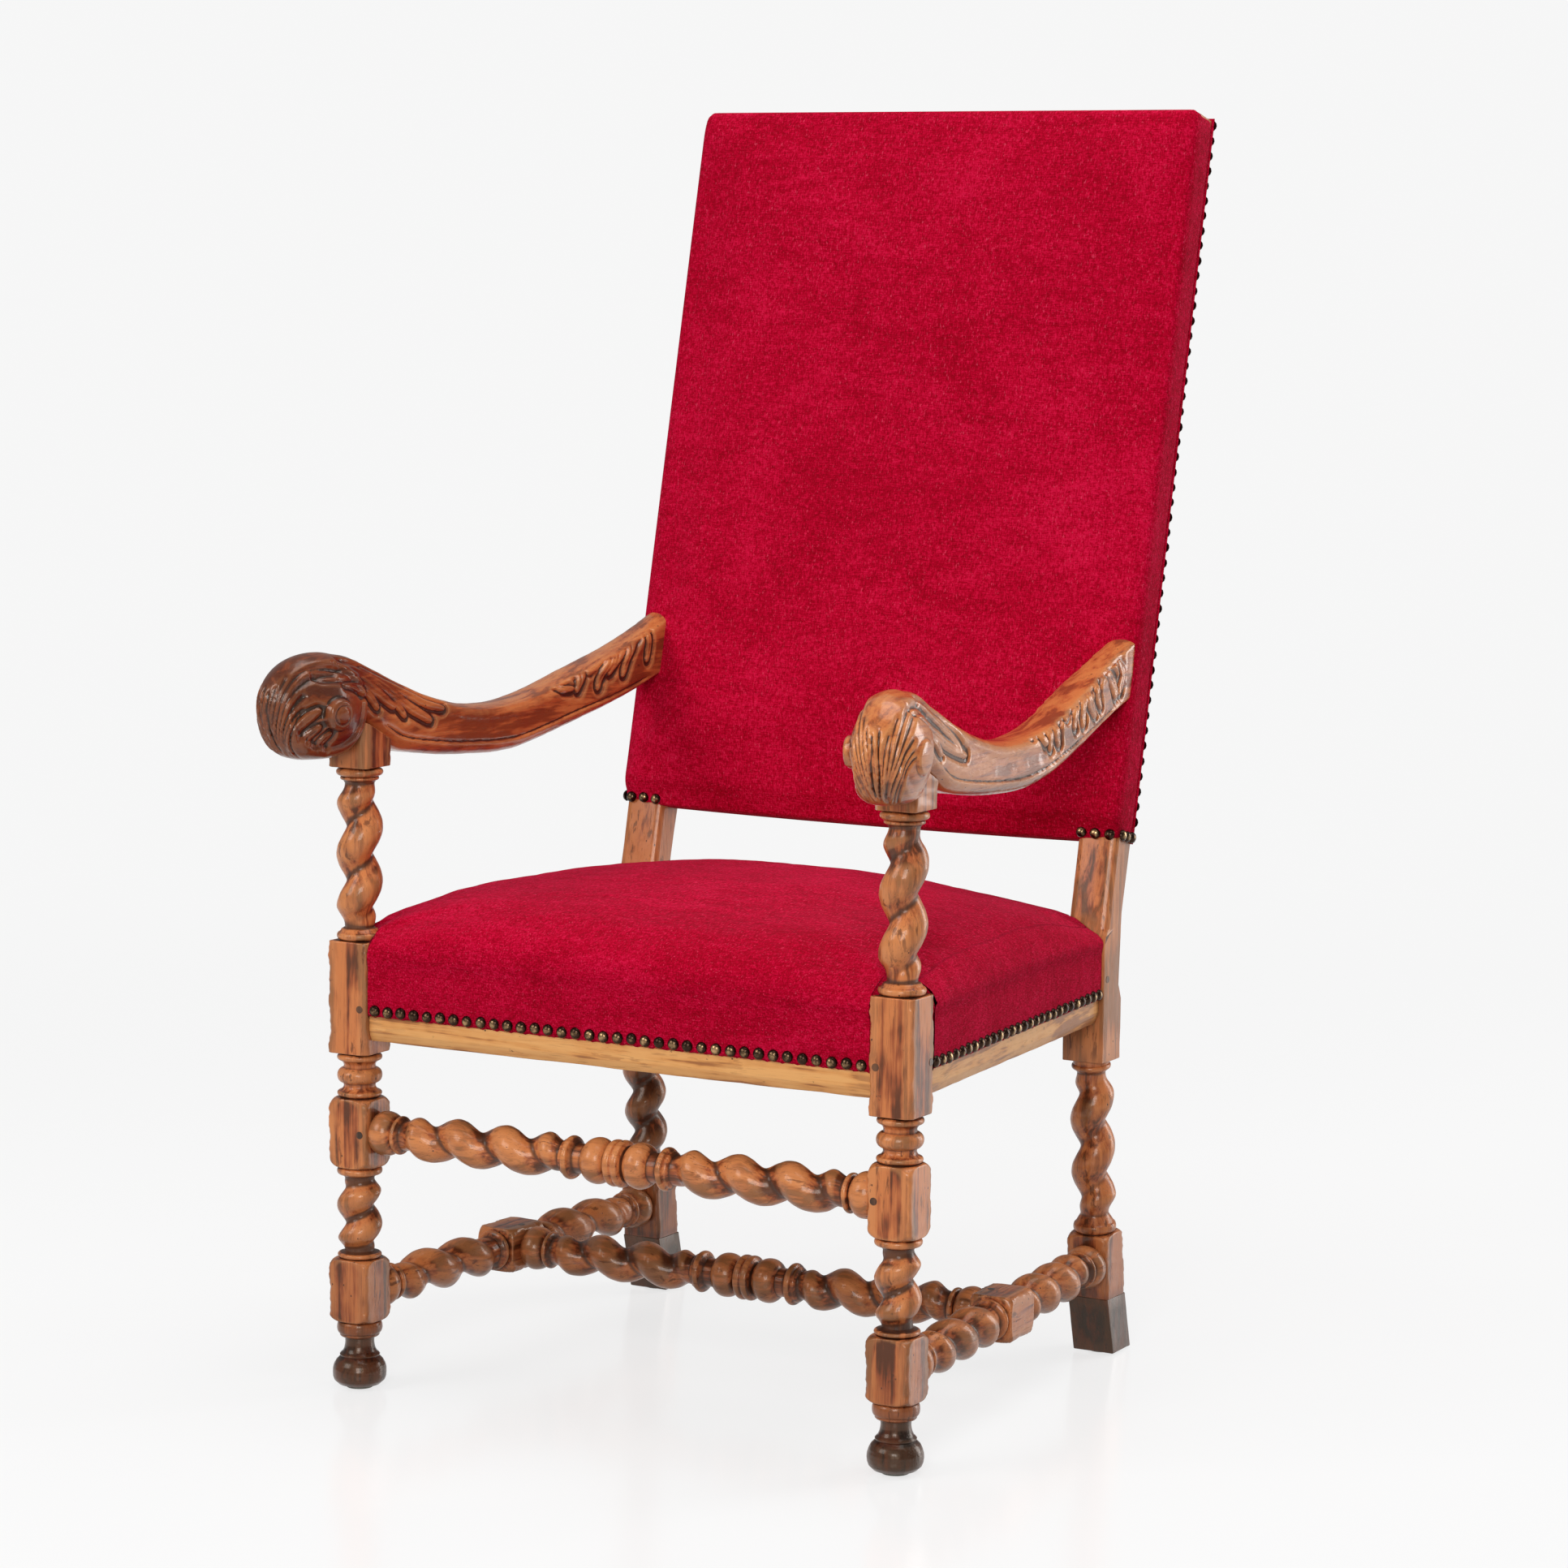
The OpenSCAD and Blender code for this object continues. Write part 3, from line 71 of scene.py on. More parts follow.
FRONT_HALF, REAR_HALF, SEAT_DEPTH = 280.0, 249.0, 451.0
STOCK, REAR_STOCK = 42.0, 40.0
HALF = STOCK / 2
REAR_FRONT, REAR_BACK = SEAT_DEPTH - REAR_STOCK / 2, SEAT_DEPTH + REAR_STOCK / 2
FOOT_TOP, LOW_BLOCK, MID_BLOCK = 47.0, (63.5, 122.0), (208.0, 272.5)
SEAT_BLOCK, ARM_BLOCK = (314.5, 418.5), 578.0
ARM_TOP = ARM_BLOCK + 46
LOW_AXIS, MID_AXIS = 90.0, 241.0
REAR_BLOCK_Z, LEG_SLOPE, SPLICE_Z, FOOT_KICK = 290.0, 5.6, 58.0, 15.0
LEAN_Z, BACK_LEAN = 402.0, 0.225
LEAN = math.atan(BACK_LEAN)
POST_D = 33.0 * math.cos(LEAN)
RAIL_Z, RAIL_H, RAIL_T, RAIL_INSET, RAIL_CHAMFER = 328.0, 72.0, 24.0, 5.0, 9.0
ROPE_RIDGE, ROPE_GROOVE, NECK = 21.2, 11.8, 13.5
FIT, VELVET = 0.2, 2.4
VELVET_LOW, SEAT_CROWN, SEAT_SWELL = 350.5, 475.0, 5.0
RAIL_TOP = RAIL_Z + RAIL_H
WEB_T, HESSIAN_T, STRAP_W = 1.5, 0.8, 52.0
WEB_STEP, SEAT_MID_Y = FRONT_HALF * 0.318, SEAT_DEPTH * 0.4545
BACK_LOW, BACK_HIGH, PAD_EDGE, PAD_CROWN = 500.0, 1190.0, 12.0, 8.5
BACK_S0 = (BACK_LOW - LEAN_Z) / math.cos(LEAN)
BACK_S1 = (BACK_HIGH - LEAN_Z - PAD_EDGE * math.sin(LEAN)) / math.cos(LEAN)
WOOD_S1 = BACK_S1 - VELVET - FIT
BACK_HW = REAR_HALF + HALF + FIT + VELVET
NAIL_D, NAIL_H = 11.0, 4.0
LOW_FACE_Y = REAR_FRONT + (REAR_BLOCK_Z - LOW_AXIS) * math.tan(math.radians(LEG_SLOPE))
STRETCHER_ANGLE = math.atan((FRONT_HALF - REAR_HALF) / (LOW_FACE_Y + REAR_STOCK / 2))
STRETCHER_LENGTH = LOW_FACE_Y / math.cos(STRETCHER_ANGLE)
STRETCHER_MID = (HALF + STRETCHER_LENGTH) / 2
NAIL_STEP = 14.4
QUARTER, FULL = math.pi / 2, 2 * math.pi
LOOP_POINTS, CLOTH_VOXEL = 120, 5.0
MERGE = 1e-4
PAPER_WHITE = (0.925, 0.925, 0.925, 1.0)


class Side(Enum):
    """Which side of the chair, as seen from the front."""

    LEFT = -1
    RIGHT = 1

    @property
    def word(self) -> str:
        """The side's name in small letters."""
        return self.name.lower()

    def pick(self, pair: Sequence[float]) -> float:
        """The side's own value from a pair of left and right."""
        return pair[0] if self is Side.LEFT else pair[1]


class Grain(Enum):
    """The direction in which the wood's fibres run in a piece's mesh, and the order that turns it to Z."""

    X = (1, 2, 0)
    Y = (0, 2, 1)
    Z = (0, 1, 2)


def mix(a: Number, b: Number, t: Number) -> Number:
    """Value between a and b at share t."""
    return a + (b - a) * t


def mix3(a: Colour, b: Colour, t: float) -> Colour:
    """Colour between two colours."""
    return tuple(mix(x, y, t) for x, y in zip(a, b))


def ease(t: Number) -> Number:
    """Smooth step of an array or number, 0 below 0 and 1 above 1."""
    s = np.clip(t, 0, 1)
    return s * s * (3 - 2 * s)


def bell(t: Number) -> Number:
    """Bell curve of an array or number, 1 at 0."""
    return np.exp(-t ** 2)


def softmin(a: Array, b: Array, k: float) -> Array:
    """Smooth minimum of two arrays, rounded off over a width k where the two meet."""
    low = np.minimum(a, b)
    return low - k * np.log(np.exp(-(a - low) / k) + np.exp(-(b - low) / k))


def unevenness(points: Array, *octaves: tuple[float, float]) -> Array:
    """Smooth noise at points in space.

    Args:
        points: Array of N points.
        octaves: Weight and frequency of each noise in the sum.

    Returns:
        N values.
    """
    return np.array([sum(weight * noise.noise(Vector(p) * often) for weight, often in octaves) for p in points])


def moved(x: float, y: float, z: float) -> Matrix:
    """A shift."""
    return Matrix.Translation((x, y, z))


def turned(angle: float, axis: str) -> Matrix:
    """A turn round one axis, in radians."""
    return Matrix.Rotation(angle, 4, axis)


def lean_matrix() -> Matrix:
    """From the back's own leaning frame to the chair's plan."""
    return moved(0, REAR_FRONT, LEAN_Z) @ turned(-LEAN, "X")


def leg_matrix(side: Side) -> Matrix:
    """From the frame that hangs along a rear leg to the chair's plan."""
    return moved(side.value * REAR_HALF, SEAT_DEPTH, REAR_BLOCK_Z) @ turned(math.radians(LEG_SLOPE), "X")


def stretcher_matrix(side: Side) -> Matrix:
    """From the frame that stands along a side stretcher to the chair's plan."""
    way = side.value
    return moved(way * FRONT_HALF, 0, LOW_AXIS) @ turned(way * STRETCHER_ANGLE, "Z") @ turned(-QUARTER, "X")


# ---- materials


class Nodes:
    """Small builder for one procedural material."""

    def __init__(self, name: str) -> None:
        """Starts an empty node tree with a Principled shader."""
        self.material = bpy.data.materials.new(name)
        self.material.use_nodes = True
        self.tree = self.material.node_tree
        self.tree.nodes.clear()
        self.out = self.add("OutputMaterial")
        self.shader = self.add("BsdfPrincipled")
        self.link(self.shader.outputs[0], self.out.inputs["Surface"])

    def add(self, kind: str, **settings) -> bpy.types.Node:
        """Adds a node of a kind and sets its properties."""
        node = self.tree.nodes.new("ShaderNode" + kind)
        for key, value in settings.items():
            setattr(node, key, value)
        return node

    def link(self, source: Socket, target: Socket) -> None:
        """Joins an output to an input."""
        self.tree.links.new(source, target)

    def fill(self, node: bpy.types.Node, inputs: dict) -> None:
        """Gives named or numbered inputs of a node a link or a plain value."""
        for key, value in inputs.items():
            if isinstance(value, Socket):
                self.link(value, node.inputs[key])
            else:
                node.inputs[key].default_value = value

    def make(self, kind: str, inputs: dict, output: str | int = 0, **settings) -> Socket:
        """Adds a node and fills its inputs.

        Args:
            kind: Its kind.
            inputs: A link or a plain value for each named or numbered input.
            output: Name or number of the wanted output.
            settings: Its properties.

        Returns:
            The output's socket.
        """
        node = self.add(kind, **settings)
        self.fill(node, inputs)
        return node.outputs[output]

    def attribute(self, name: str, output: str = "Vector") -> Socket:
        """An attribute of the mesh."""
        return self.make("Attribute", {}, output, attribute_name=name)

    def position(self) -> Socket:
        """The point in the object's own coordinates."""
        return self.make("TexCoord", {}, "Object")

    def stretch(self, vector: Socket, scale: Sequence[float], shift: Sequence[float] = (0, 0, 0)) -> Socket:
        """The coordinates multiplied along their axes and then shifted."""
        return self.make("Mapping", {"Vector": vector, "Scale": scale, "Location": shift})

    def noise(self, vector: Socket, scale: float | tuple, detail: float = 4.0, rough: float = 0.55, warp: float = 0.0,
              shift: Sequence[float] = (0, 0, 0)) -> Socket:
        """Fractal noise from 0 to 1.

        Args:
            vector: The coordinates.
            scale: Cells in a metre, for all axes or for each.
            detail: Number of octaves.
            rough: Weight of the fine octaves.
            warp: Distortion.
            shift: Offset, used where the scale has a number for each axis.

        Returns:
            The factor's socket.
        """
        if isinstance(scale, tuple):
            vector, scale = self.stretch(vector, scale, shift), 1.0
        return self.make("TexNoise", {"Vector": vector, "Scale": scale, "Detail": detail, "Roughness": rough,
                                      "Distortion": warp}, "Fac")

    def plus(self, a: Value, b: Value, clamp: bool = False) -> Socket:
        """Sum of two values."""
        return self.make("Math", {0: a, 1: b}, operation="ADD", use_clamp=clamp)

    def times(self, a: Value, b: Value, clamp: bool = False) -> Socket:
        """Product of two values."""
        return self.make("Math", {0: a, 1: b}, operation="MULTIPLY", use_clamp=clamp)

    def weigh(self, *terms: tuple[Socket, float]) -> Socket:
        """Sum of values, each given with its weight."""
        total, *others = [value if weight == 1 else self.times(value, weight) for value, weight in terms]
        for other in others:
            total = self.plus(total, other)
        return total

    def spread(self, value: Socket, low: float, high: float) -> Socket:
        """The value moved smoothly from 0 at low to 1 at high."""
        return self.make("MapRange", {"Value": value, "From Min": low, "From Max": high}, "Result",
                         interpolation_type="SMOOTHSTEP")

    def blend(self, factor: Value, a: Value, b: Value, kind: str = "MIX") -> Socket:
        """Mixes two colours by a factor."""
        a, b = (value if isinstance(value, Socket) else (*value, 1.0) for value in (a, b))
        return self.make("Mix", {0: factor, 6: a, 7: b}, 2, data_type="RGBA", blend_type=kind, clamp_factor=True)

    def ramp(self, value: Socket, stops: Sequence[tuple[float, Colour]]) -> Socket:
        """A colour ramp along a value, from pairs of place and colour."""
        node = self.add("ValToRGB")
        self.fill(node, {0: value})
        elements = node.color_ramp.elements
        while len(elements) < len(stops):
            elements.new(0.5)
        for element, (place, colour) in zip(elements, stops):
            element.position, element.color = place, (*colour, 1.0)
        return node.outputs[0]

    def bump(self, height: Socket, distance: float, normal: Socket | None = None) -> Socket:
        """A bump of a height field, so many metres high, on top of another bump."""
        under = {} if normal is None else {"Normal": normal}
        return self.make("Bump", {"Distance": distance, "Strength": 1.0, "Height": height, **under})


@dataclass(frozen=True)
class WoodFinish:
    """Old waxed hardwood: streaked fibres, dark flecks, worn ridges, dirty brown hollows with painted shading, and
    painted shading on some pieces.
    """

    name: str
    pale: Colour = (0.70, 0.225, 0.070)
    mid: Colour = (0.38, 0.088, 0.028)
    dark: Colour = (0.11, 0.027, 0.009)
    # Dark brown of dirt, dents and worm holes, also used for the painted shade in the hollows.
    grime: Colour = (0.045, 0.015, 0.009)
    depth: float = 0.5
    # How strongly dirt and painted shade darken the hollows.
    hollow: float = 0.88
    wear: float = 0.8
    fleck: float = 0.75
    rough: float = 0.36
    coat: float = 0.30
    bare: bool = False

    def material(self) -> bpy.types.Material:
        """Builds the material. It reads the attributes grain, relief and the darkening that holds painted shading.

        Returns:
            The new material.
        """
        n = Nodes(self.name)
        grain = n.position() if self.bare else n.attribute("grain")
        relief, shade = n.attribute("relief", "Fac"), n.attribute("shade", "Fac")
        fibre = n.noise(grain, (210, 210, 8), 5.0, 0.62, 0.5)
        fine = n.noise(grain, (950, 950, 30), 3.0, 0.6)
        figure = n.noise(grain, (60, 60, 4), 3.0, 0.5, 1.2)
        cloud = n.noise(grain, (26, 26, 13), 3.0, 0.55)
        patch = n.noise(grain, (130, 130, 60), 4.0, 0.6)
        tone = n.weigh((n.weigh((fibre, 0.45), (figure, 0.55)), 0.6), (cloud, 0.4))
        base = n.ramp(n.spread(tone, 0.435, 0.565), (
            (0.0, self.dark), (self.depth * 0.62, self.mid),
            (self.depth + 0.20, mix3(self.mid, self.pale, 0.6)), (1.0, self.pale)))
        worn = n.times(n.spread(n.weigh((relief, 1), (patch, 0.9)), 0.75, 1.5), self.wear, clamp=True)
        base = n.blend(n.times(worn, 0.5), base, mix3(self.pale, (0.90, 0.52, 0.22), 0.3))
        pores = n.spread(fine, 0.57, 0.70)
        base = n.blend(n.times(pores, 0.38), base, self.dark)
        fleck = n.spread(n.noise(grain, (165, 165, 26), 4.0, 0.62, 0.4, (2, 5, 1)), 0.565, 0.645)
        where = n.spread(n.noise(grain, (30, 30, 14), 2.0, 0.5, 0.0, (7, 1, 4)), 0.42, 0.58)
        fleck = n.times(n.times(fleck, where), self.fleck)
        base = n.blend(fleck, base, self.dark)
        # Dirt and painted shade in the hollows, where the relief is low.
        dirt_and_shade = n.spread(n.weigh((relief, 1), (patch, 0.7)), 0.08, -0.95)
        hollow = n.times(dirt_and_shade, self.hollow, clamp=True)
        base = n.blend(hollow, base, self.grime)
        # Painted shade on some pieces, a darkening towards the floor, and the ring just above the feet as dark as the
        # feet.
        base = n.blend(shade, base, n.blend(1.0, base, (0.28, 0.17, 0.15), "MULTIPLY"))
        knock = n.spread(n.noise(grain, (75, 75, 55), 5.0, 0.7, 0.0, (3, 1, 2)), 0.66, 0.72)
        base = n.blend(n.times(knock, 0.7), base, self.grime)
        holes = n.make("TexVoronoi", {"Vector": n.stretch(grain, (1, 1, 0.7)), "Scale": 105.0}, "Distance")
        worm = n.times(n.spread(holes, 0.085, 0.065), n.spread(cloud, 0.50, 0.56))
        base = n.blend(n.times(worm, 0.95), base, self.grime)
        rough = n.plus(n.times(n.plus(patch, pores), 0.18), self.rough - 0.09)
        height = n.weigh((fibre, 0.5), (pores, -0.3), (worm, -1.6), (n.plus(knock, fleck), -0.4))
        low = n.bump(n.noise(grain, (62, 62, 36), 2.0, 0.5), 0.0011)
        n.fill(n.shader, {"Base Color": base, "Roughness": n.weigh((rough, 1), (hollow, 0.22)),
                          "Normal": n.bump(height, 0.0003, low), "Specular IOR Level": 0.45,
                          "Specular Tint": (1.0, 0.74, 0.52, 1.0), "Coat Weight": self.coat, "Coat Roughness": 0.11})
        return n.material


@dataclass(frozen=True)
class VelvetFinish:
    """Red cotton velvet with a short, slightly crushed pile over a ribbed ground."""

    name: str = "red_velvet"
    deep: Colour = (0.31, 0.0004, 0.010)
    mid: Colour = (0.51, 0.0004, 0.024)
    light: Colour = (0.72, 0.008, 0.060)

    def material(self) -> bpy.types.Material:
        """Builds the material. It reads the attribute weave, in metres along and across the cloth.

        Returns:
            The new material.
        """
        n = Nodes(self.name)
        weave, place = n.attribute("weave"), n.position()
        across = n.noise(weave, (130, 1100, 700), 3.0, 0.6)
        along = n.noise(weave, (760, 190, 500), 4.0, 0.66)
        pile = n.noise(place, 620.0, 3.0, 0.65)
        mottle = n.noise(place, 240.0, 4.0, 0.7)
        cloud = n.noise(place, 8.0, 5.0, 0.62, 0.8)
        brushed = n.noise(weave, (9, 30, 12), 4.0, 0.65, 1.5, (4, 2, 1))
        tone = n.weigh((across, 0.20), (along, 0.28), (n.plus(pile, mottle), 0.16), (n.plus(cloud, brushed), 0.10))
        base = n.ramp(n.spread(tone, 0.42, 0.595), ((0.0, self.deep), (0.5, self.mid), (1.0, self.light)))
        speck = n.spread(n.noise(weave, (640, 240, 500), 2.0, 0.5, 0.0, (1, 2, 3)), 0.62, 0.74)
        base = n.blend(n.times(speck, 0.62), base, (0.78, 0.06, 0.13))
        low = n.bump(n.weigh((cloud, 1), (brushed, 0.6)), 0.0022)
        thread = n.weigh((across, 0.5), (along, 0.5))
        height = n.weigh((thread, 1), (n.plus(pile, mottle), 0.45))
        n.fill(n.shader, {"Base Color": base, "Roughness": 0.9, "Normal": n.bump(height, 0.0011, low),
                          "Specular IOR Level": 0.05, "Sheen Weight": 0.16, "Sheen Roughness": 0.30,
                          "Sheen Tint": (1.0, 0.16, 0.36, 1.0)})
        return n.material


@dataclass(frozen=True)
class BrassFinish:
    """Old brass nail heads, brown in the hollows and bright on top, partly rubbed by hands and partly a painted
    highlight.
    """

    name: str = "aged_brass"
    bright: Colour = (0.52, 0.33, 0.16)
    brown: Colour = (0.036, 0.018, 0.011)

    def material(self) -> bpy.types.Material:
        """Builds the material.

        Returns:
            The new material.
        """
        n = Nodes(self.name)
        place, relief = n.position(), n.attribute("relief", "Fac")
        cloud, fine = n.noise(place, 160.0, 3.0, 0.6), n.noise(place, 1100.0, 3.0, 0.6)
        # Bright where the dome is high: partly brass rubbed by hands, partly a painted highlight.
        rub_and_highlight = n.spread(n.weigh((relief, 0.7), (cloud, 0.9)), 0.84, 1.30)
        n.fill(n.shader, {"Base Color": n.blend(rub_and_highlight, self.brown, self.bright), "Metallic": 0.92,
                          "Roughness": n.plus(n.times(fine, 0.20), 0.13), "Normal": n.bump(fine, 0.00012)})
        return n.material


@dataclass(frozen=True)
class ClothFinish:
    """Plain woven jute or hessian seen under the seat."""

    name: str
    light: Colour = (0.42, 0.30, 0.17)
    dark: Colour = (0.17, 0.11, 0.06)
    threads: float = 700.0

    def material(self) -> bpy.types.Material:
        """Builds the material from two crossed sets of threads.

        Returns:
            The new material.
        """
        n = Nodes(self.name)
        place = n.attribute("weave")
        inputs = {"Vector": place, "Scale": self.threads / 6.2832, "Distortion": 1.4, "Detail": 2.0,
                  "Detail Scale": 0.4}
        warp, weft = (n.make("TexWave", inputs, "Fac", bands_direction=direction, wave_profile="SIN")
                      for direction in ("X", "Y"))
        thread = n.times(warp, weft)
        tone = n.weigh((thread, 0.75), (n.noise(place, 26.0, 4.0, 0.6), 0.45))
        n.fill(n.shader, {"Base Color": n.ramp(n.spread(tone, 0.15, 1.0), ((0.0, self.dark), (1.0, self.light))),
                          "Roughness": 0.95, "Normal": n.bump(thread, 0.0006)})
        return n.material


@dataclass(frozen=True)
class PadFinish:
    """Thin grey felt under the feet."""

    name: str = "felt_pad"

    def material(self) -> bpy.types.Material:
        """Builds the material.

        Returns:
            The new material.
        """
        n = Nodes(self.name)
        fluff = n.noise(n.position(), 900.0, 4.0, 0.7)
        n.fill(n.shader, {"Base Color": n.ramp(fluff, ((0.3, (0.22, 0.22, 0.18)), (0.7, (0.50, 0.50, 0.43)))),
                          "Roughness": 0.95, "Normal": n.bump(fluff, 0.0004)})
        return n.material


class Finishes:
    """Every material of the chair, made once and shared."""

    def __init__(self) -> None:
        """Makes the materials."""
        self.turned = WoodFinish("turned_wood_waxed").material()
        # Carved wood, with more dirt and painted shade in its hollows.
        self.carved = WoodFinish("carved_wood_waxed", pale=(0.68, 0.225, 0.066), mid=(0.53, 0.138, 0.041),
                                 dark=(0.27, 0.066, 0.022), hollow=0.95, rough=0.30, coat=0.50, fleck=0.4).material()
        self.foot = WoodFinish("dark_foot_wood", pale=(0.19, 0.050, 0.018), mid=(0.055, 0.015, 0.008),
                               dark=(0.018, 0.006, 0.004), rough=0.34, wear=0.5).material()
        self.rail = WoodFinish("pale_rail_wood", pale=(0.90, 0.45, 0.155), mid=(0.80, 0.35, 0.105),
                               dark=(0.40, 0.145, 0.045), wear=0.5, fleck=0.5, rough=0.42, coat=0.2).material()
        self.plain = WoodFinish("bare_frame_wood", pale=(0.52, 0.30, 0.13), mid=(0.40, 0.20, 0.08), rough=0.6,
                                coat=0.0, bare=True).material()
        self.peg = WoodFinish("dark_peg_wood", pale=(0.16, 0.065, 0.03), mid=(0.08, 0.032, 0.018),
                              dark=(0.03, 0.014, 0.01), bare=True).material()
        self.velvet = VelvetFinish().material()
        self.brass = BrassFinish().material()
        self.hessian = ClothFinish("hessian").material()
        self.webbing = ClothFinish("jute_webbing", light=(0.50, 0.38, 0.22), dark=(0.22, 0.15, 0.08),
                                   threads=1100.0).material()
        self.pad = PadFinish().material()


# ---- meshes


def spun(line: Sequence[Sequence[float]], segments: int, fill: bool = False) -> Form:
    """A line of points spun round Z.

    Args:
        line: The points.
        segments: Number of points round a ring.
        fill: Whether to close an open end.

    Returns:
        The bmesh with outward normals.
    """
    bm = bmesh.new()
    verts = [bm.verts.new(p) for p in line]
    edges = [bm.edges.new(pair) for pair in zip(verts, verts[1:])]
    bmesh.ops.spin(bm, geom=verts + edges, cent=(0, 0, 0), axis=(0, 0, 1), dvec=(0, 0, 0), angle=FULL, steps=segments,
                   use_merge=True, use_duplicate=False)
    bmesh.ops.remove_doubles(bm, verts=bm.verts, dist=MERGE)
    if fill:
        bmesh.ops.holes_fill(bm, edges=bm.edges, sides=0)
    bmesh.ops.recalc_face_normals(bm, faces=bm.faces)
    return bm


def tube(rings: int, segments: int) -> Form:
    """A closed straight tube whose points are then moved: ring i at height i with radius 1, poles at -1 and rings."""
    return spun([(0, 0, -1), *((1, 0, i) for i in range(rings)), (0, 0, rings)], segments)


def tube_places(raw: Array, rings: int, segments: int) -> tuple[Array, Array, Array]:
    """Which point of which ring each point of a tube is.

    Args:
        raw: The tube's points.
        rings: Number of its rings.
        segments: Number of points round a ring.

    Returns:
        Ring, point round the ring, and whether the point is a pole.
    """
    phi = np.arctan2(raw[:, 1], raw[:, 0]) % FULL
    around = np.rint(phi / FULL * segments).astype(int) % segments
    return np.clip(np.rint(raw[:, 2]).astype(int), 0, rings - 1), around, np.hypot(raw[:, 0], raw[:, 1]) < 0.5


def points_of(bm: Form) -> Array:
    """All points of a bmesh."""
    return np.array([v.co for v in bm.verts], dtype=float)


def put_points(bm: Form, points: Array) -> None:
    """Moves all points of a bmesh."""
    for v, p in zip(bm.verts, points):
        v.co = p


def read(items: Sequence, name: str) -> Array:
    """A vector of each element of a mesh, in rows."""
    values = np.empty(len(items) * 3)
    items.foreach_get(name, values)
    return values.reshape(-1, 3)


def write(items: Sequence, name: str, values: Array) -> None:
    """Sets a number or vector of each element of a mesh."""
    items.foreach_set(name, np.asarray(values).astype(np.float32).ravel())


def give_attribute(mesh: bpy.types.Mesh, name: str, values: Array) -> None:
    """Stores a number or a vector at each point of a mesh."""
    kind, key = ("FLOAT_VECTOR", "vector") if values.ndim == 2 else ("FLOAT", "value")
    write(mesh.attributes.new(name, kind, "POINT").data, key, values)


def mesh_from(bm: Form, name: str) -> bpy.types.Mesh:
    """A new mesh of a bmesh, which is freed."""
    mesh = bpy.data.meshes.new(name)
    bm.to_mesh(mesh)
    bm.free()
    return mesh


def evaluated(obj: bpy.types.Object) -> bpy.types.Mesh:
    """A new mesh of an object with its modifiers."""
    return bpy.data.meshes.new_from_object(obj.evaluated_get(bpy.context.evaluated_depsgraph_get()))


def placed(name: str, data: bpy.types.ID) -> bpy.types.Object:
    """A new object in the scene."""
    obj = bpy.data.objects.new(name, data)
    bpy.context.scene.collection.objects.link(obj)
    return obj


def relief_of(mesh: bpy.types.Mesh, rounds: int) -> Array:
    """How far each point stands out of its smoothed surroundings, in millimetres.

    Args:
        mesh: A mesh in metres.
        rounds: Number of smoothing rounds, which sets how wide the surroundings are.

    Returns:
        Positive numbers on ridges and negative ones in hollows.
    """
    count = len(mesh.vertices)
    co, normal = read(mesh.vertices, "co") * METRE, read(mesh.vertices, "normal")
    edges = np.empty(len(mesh.edges) * 2, dtype=np.int32)
    mesh.edges.foreach_get("vertices", edges)
    a, b = edges[0::2], edges[1::2]
    ends, others = np.concatenate([a, b]), np.concatenate([b, a])
    degree = np.maximum(np.bincount(ends, minlength=count), 1)
    smooth = co.copy()
    for _ in range(rounds):
        smooth = np.stack([np.bincount(ends, weights=smooth[others, k], minlength=count) / degree
                           for k in range(3)], axis=1)
    return np.einsum("ij,ij->i", co - smooth, normal)


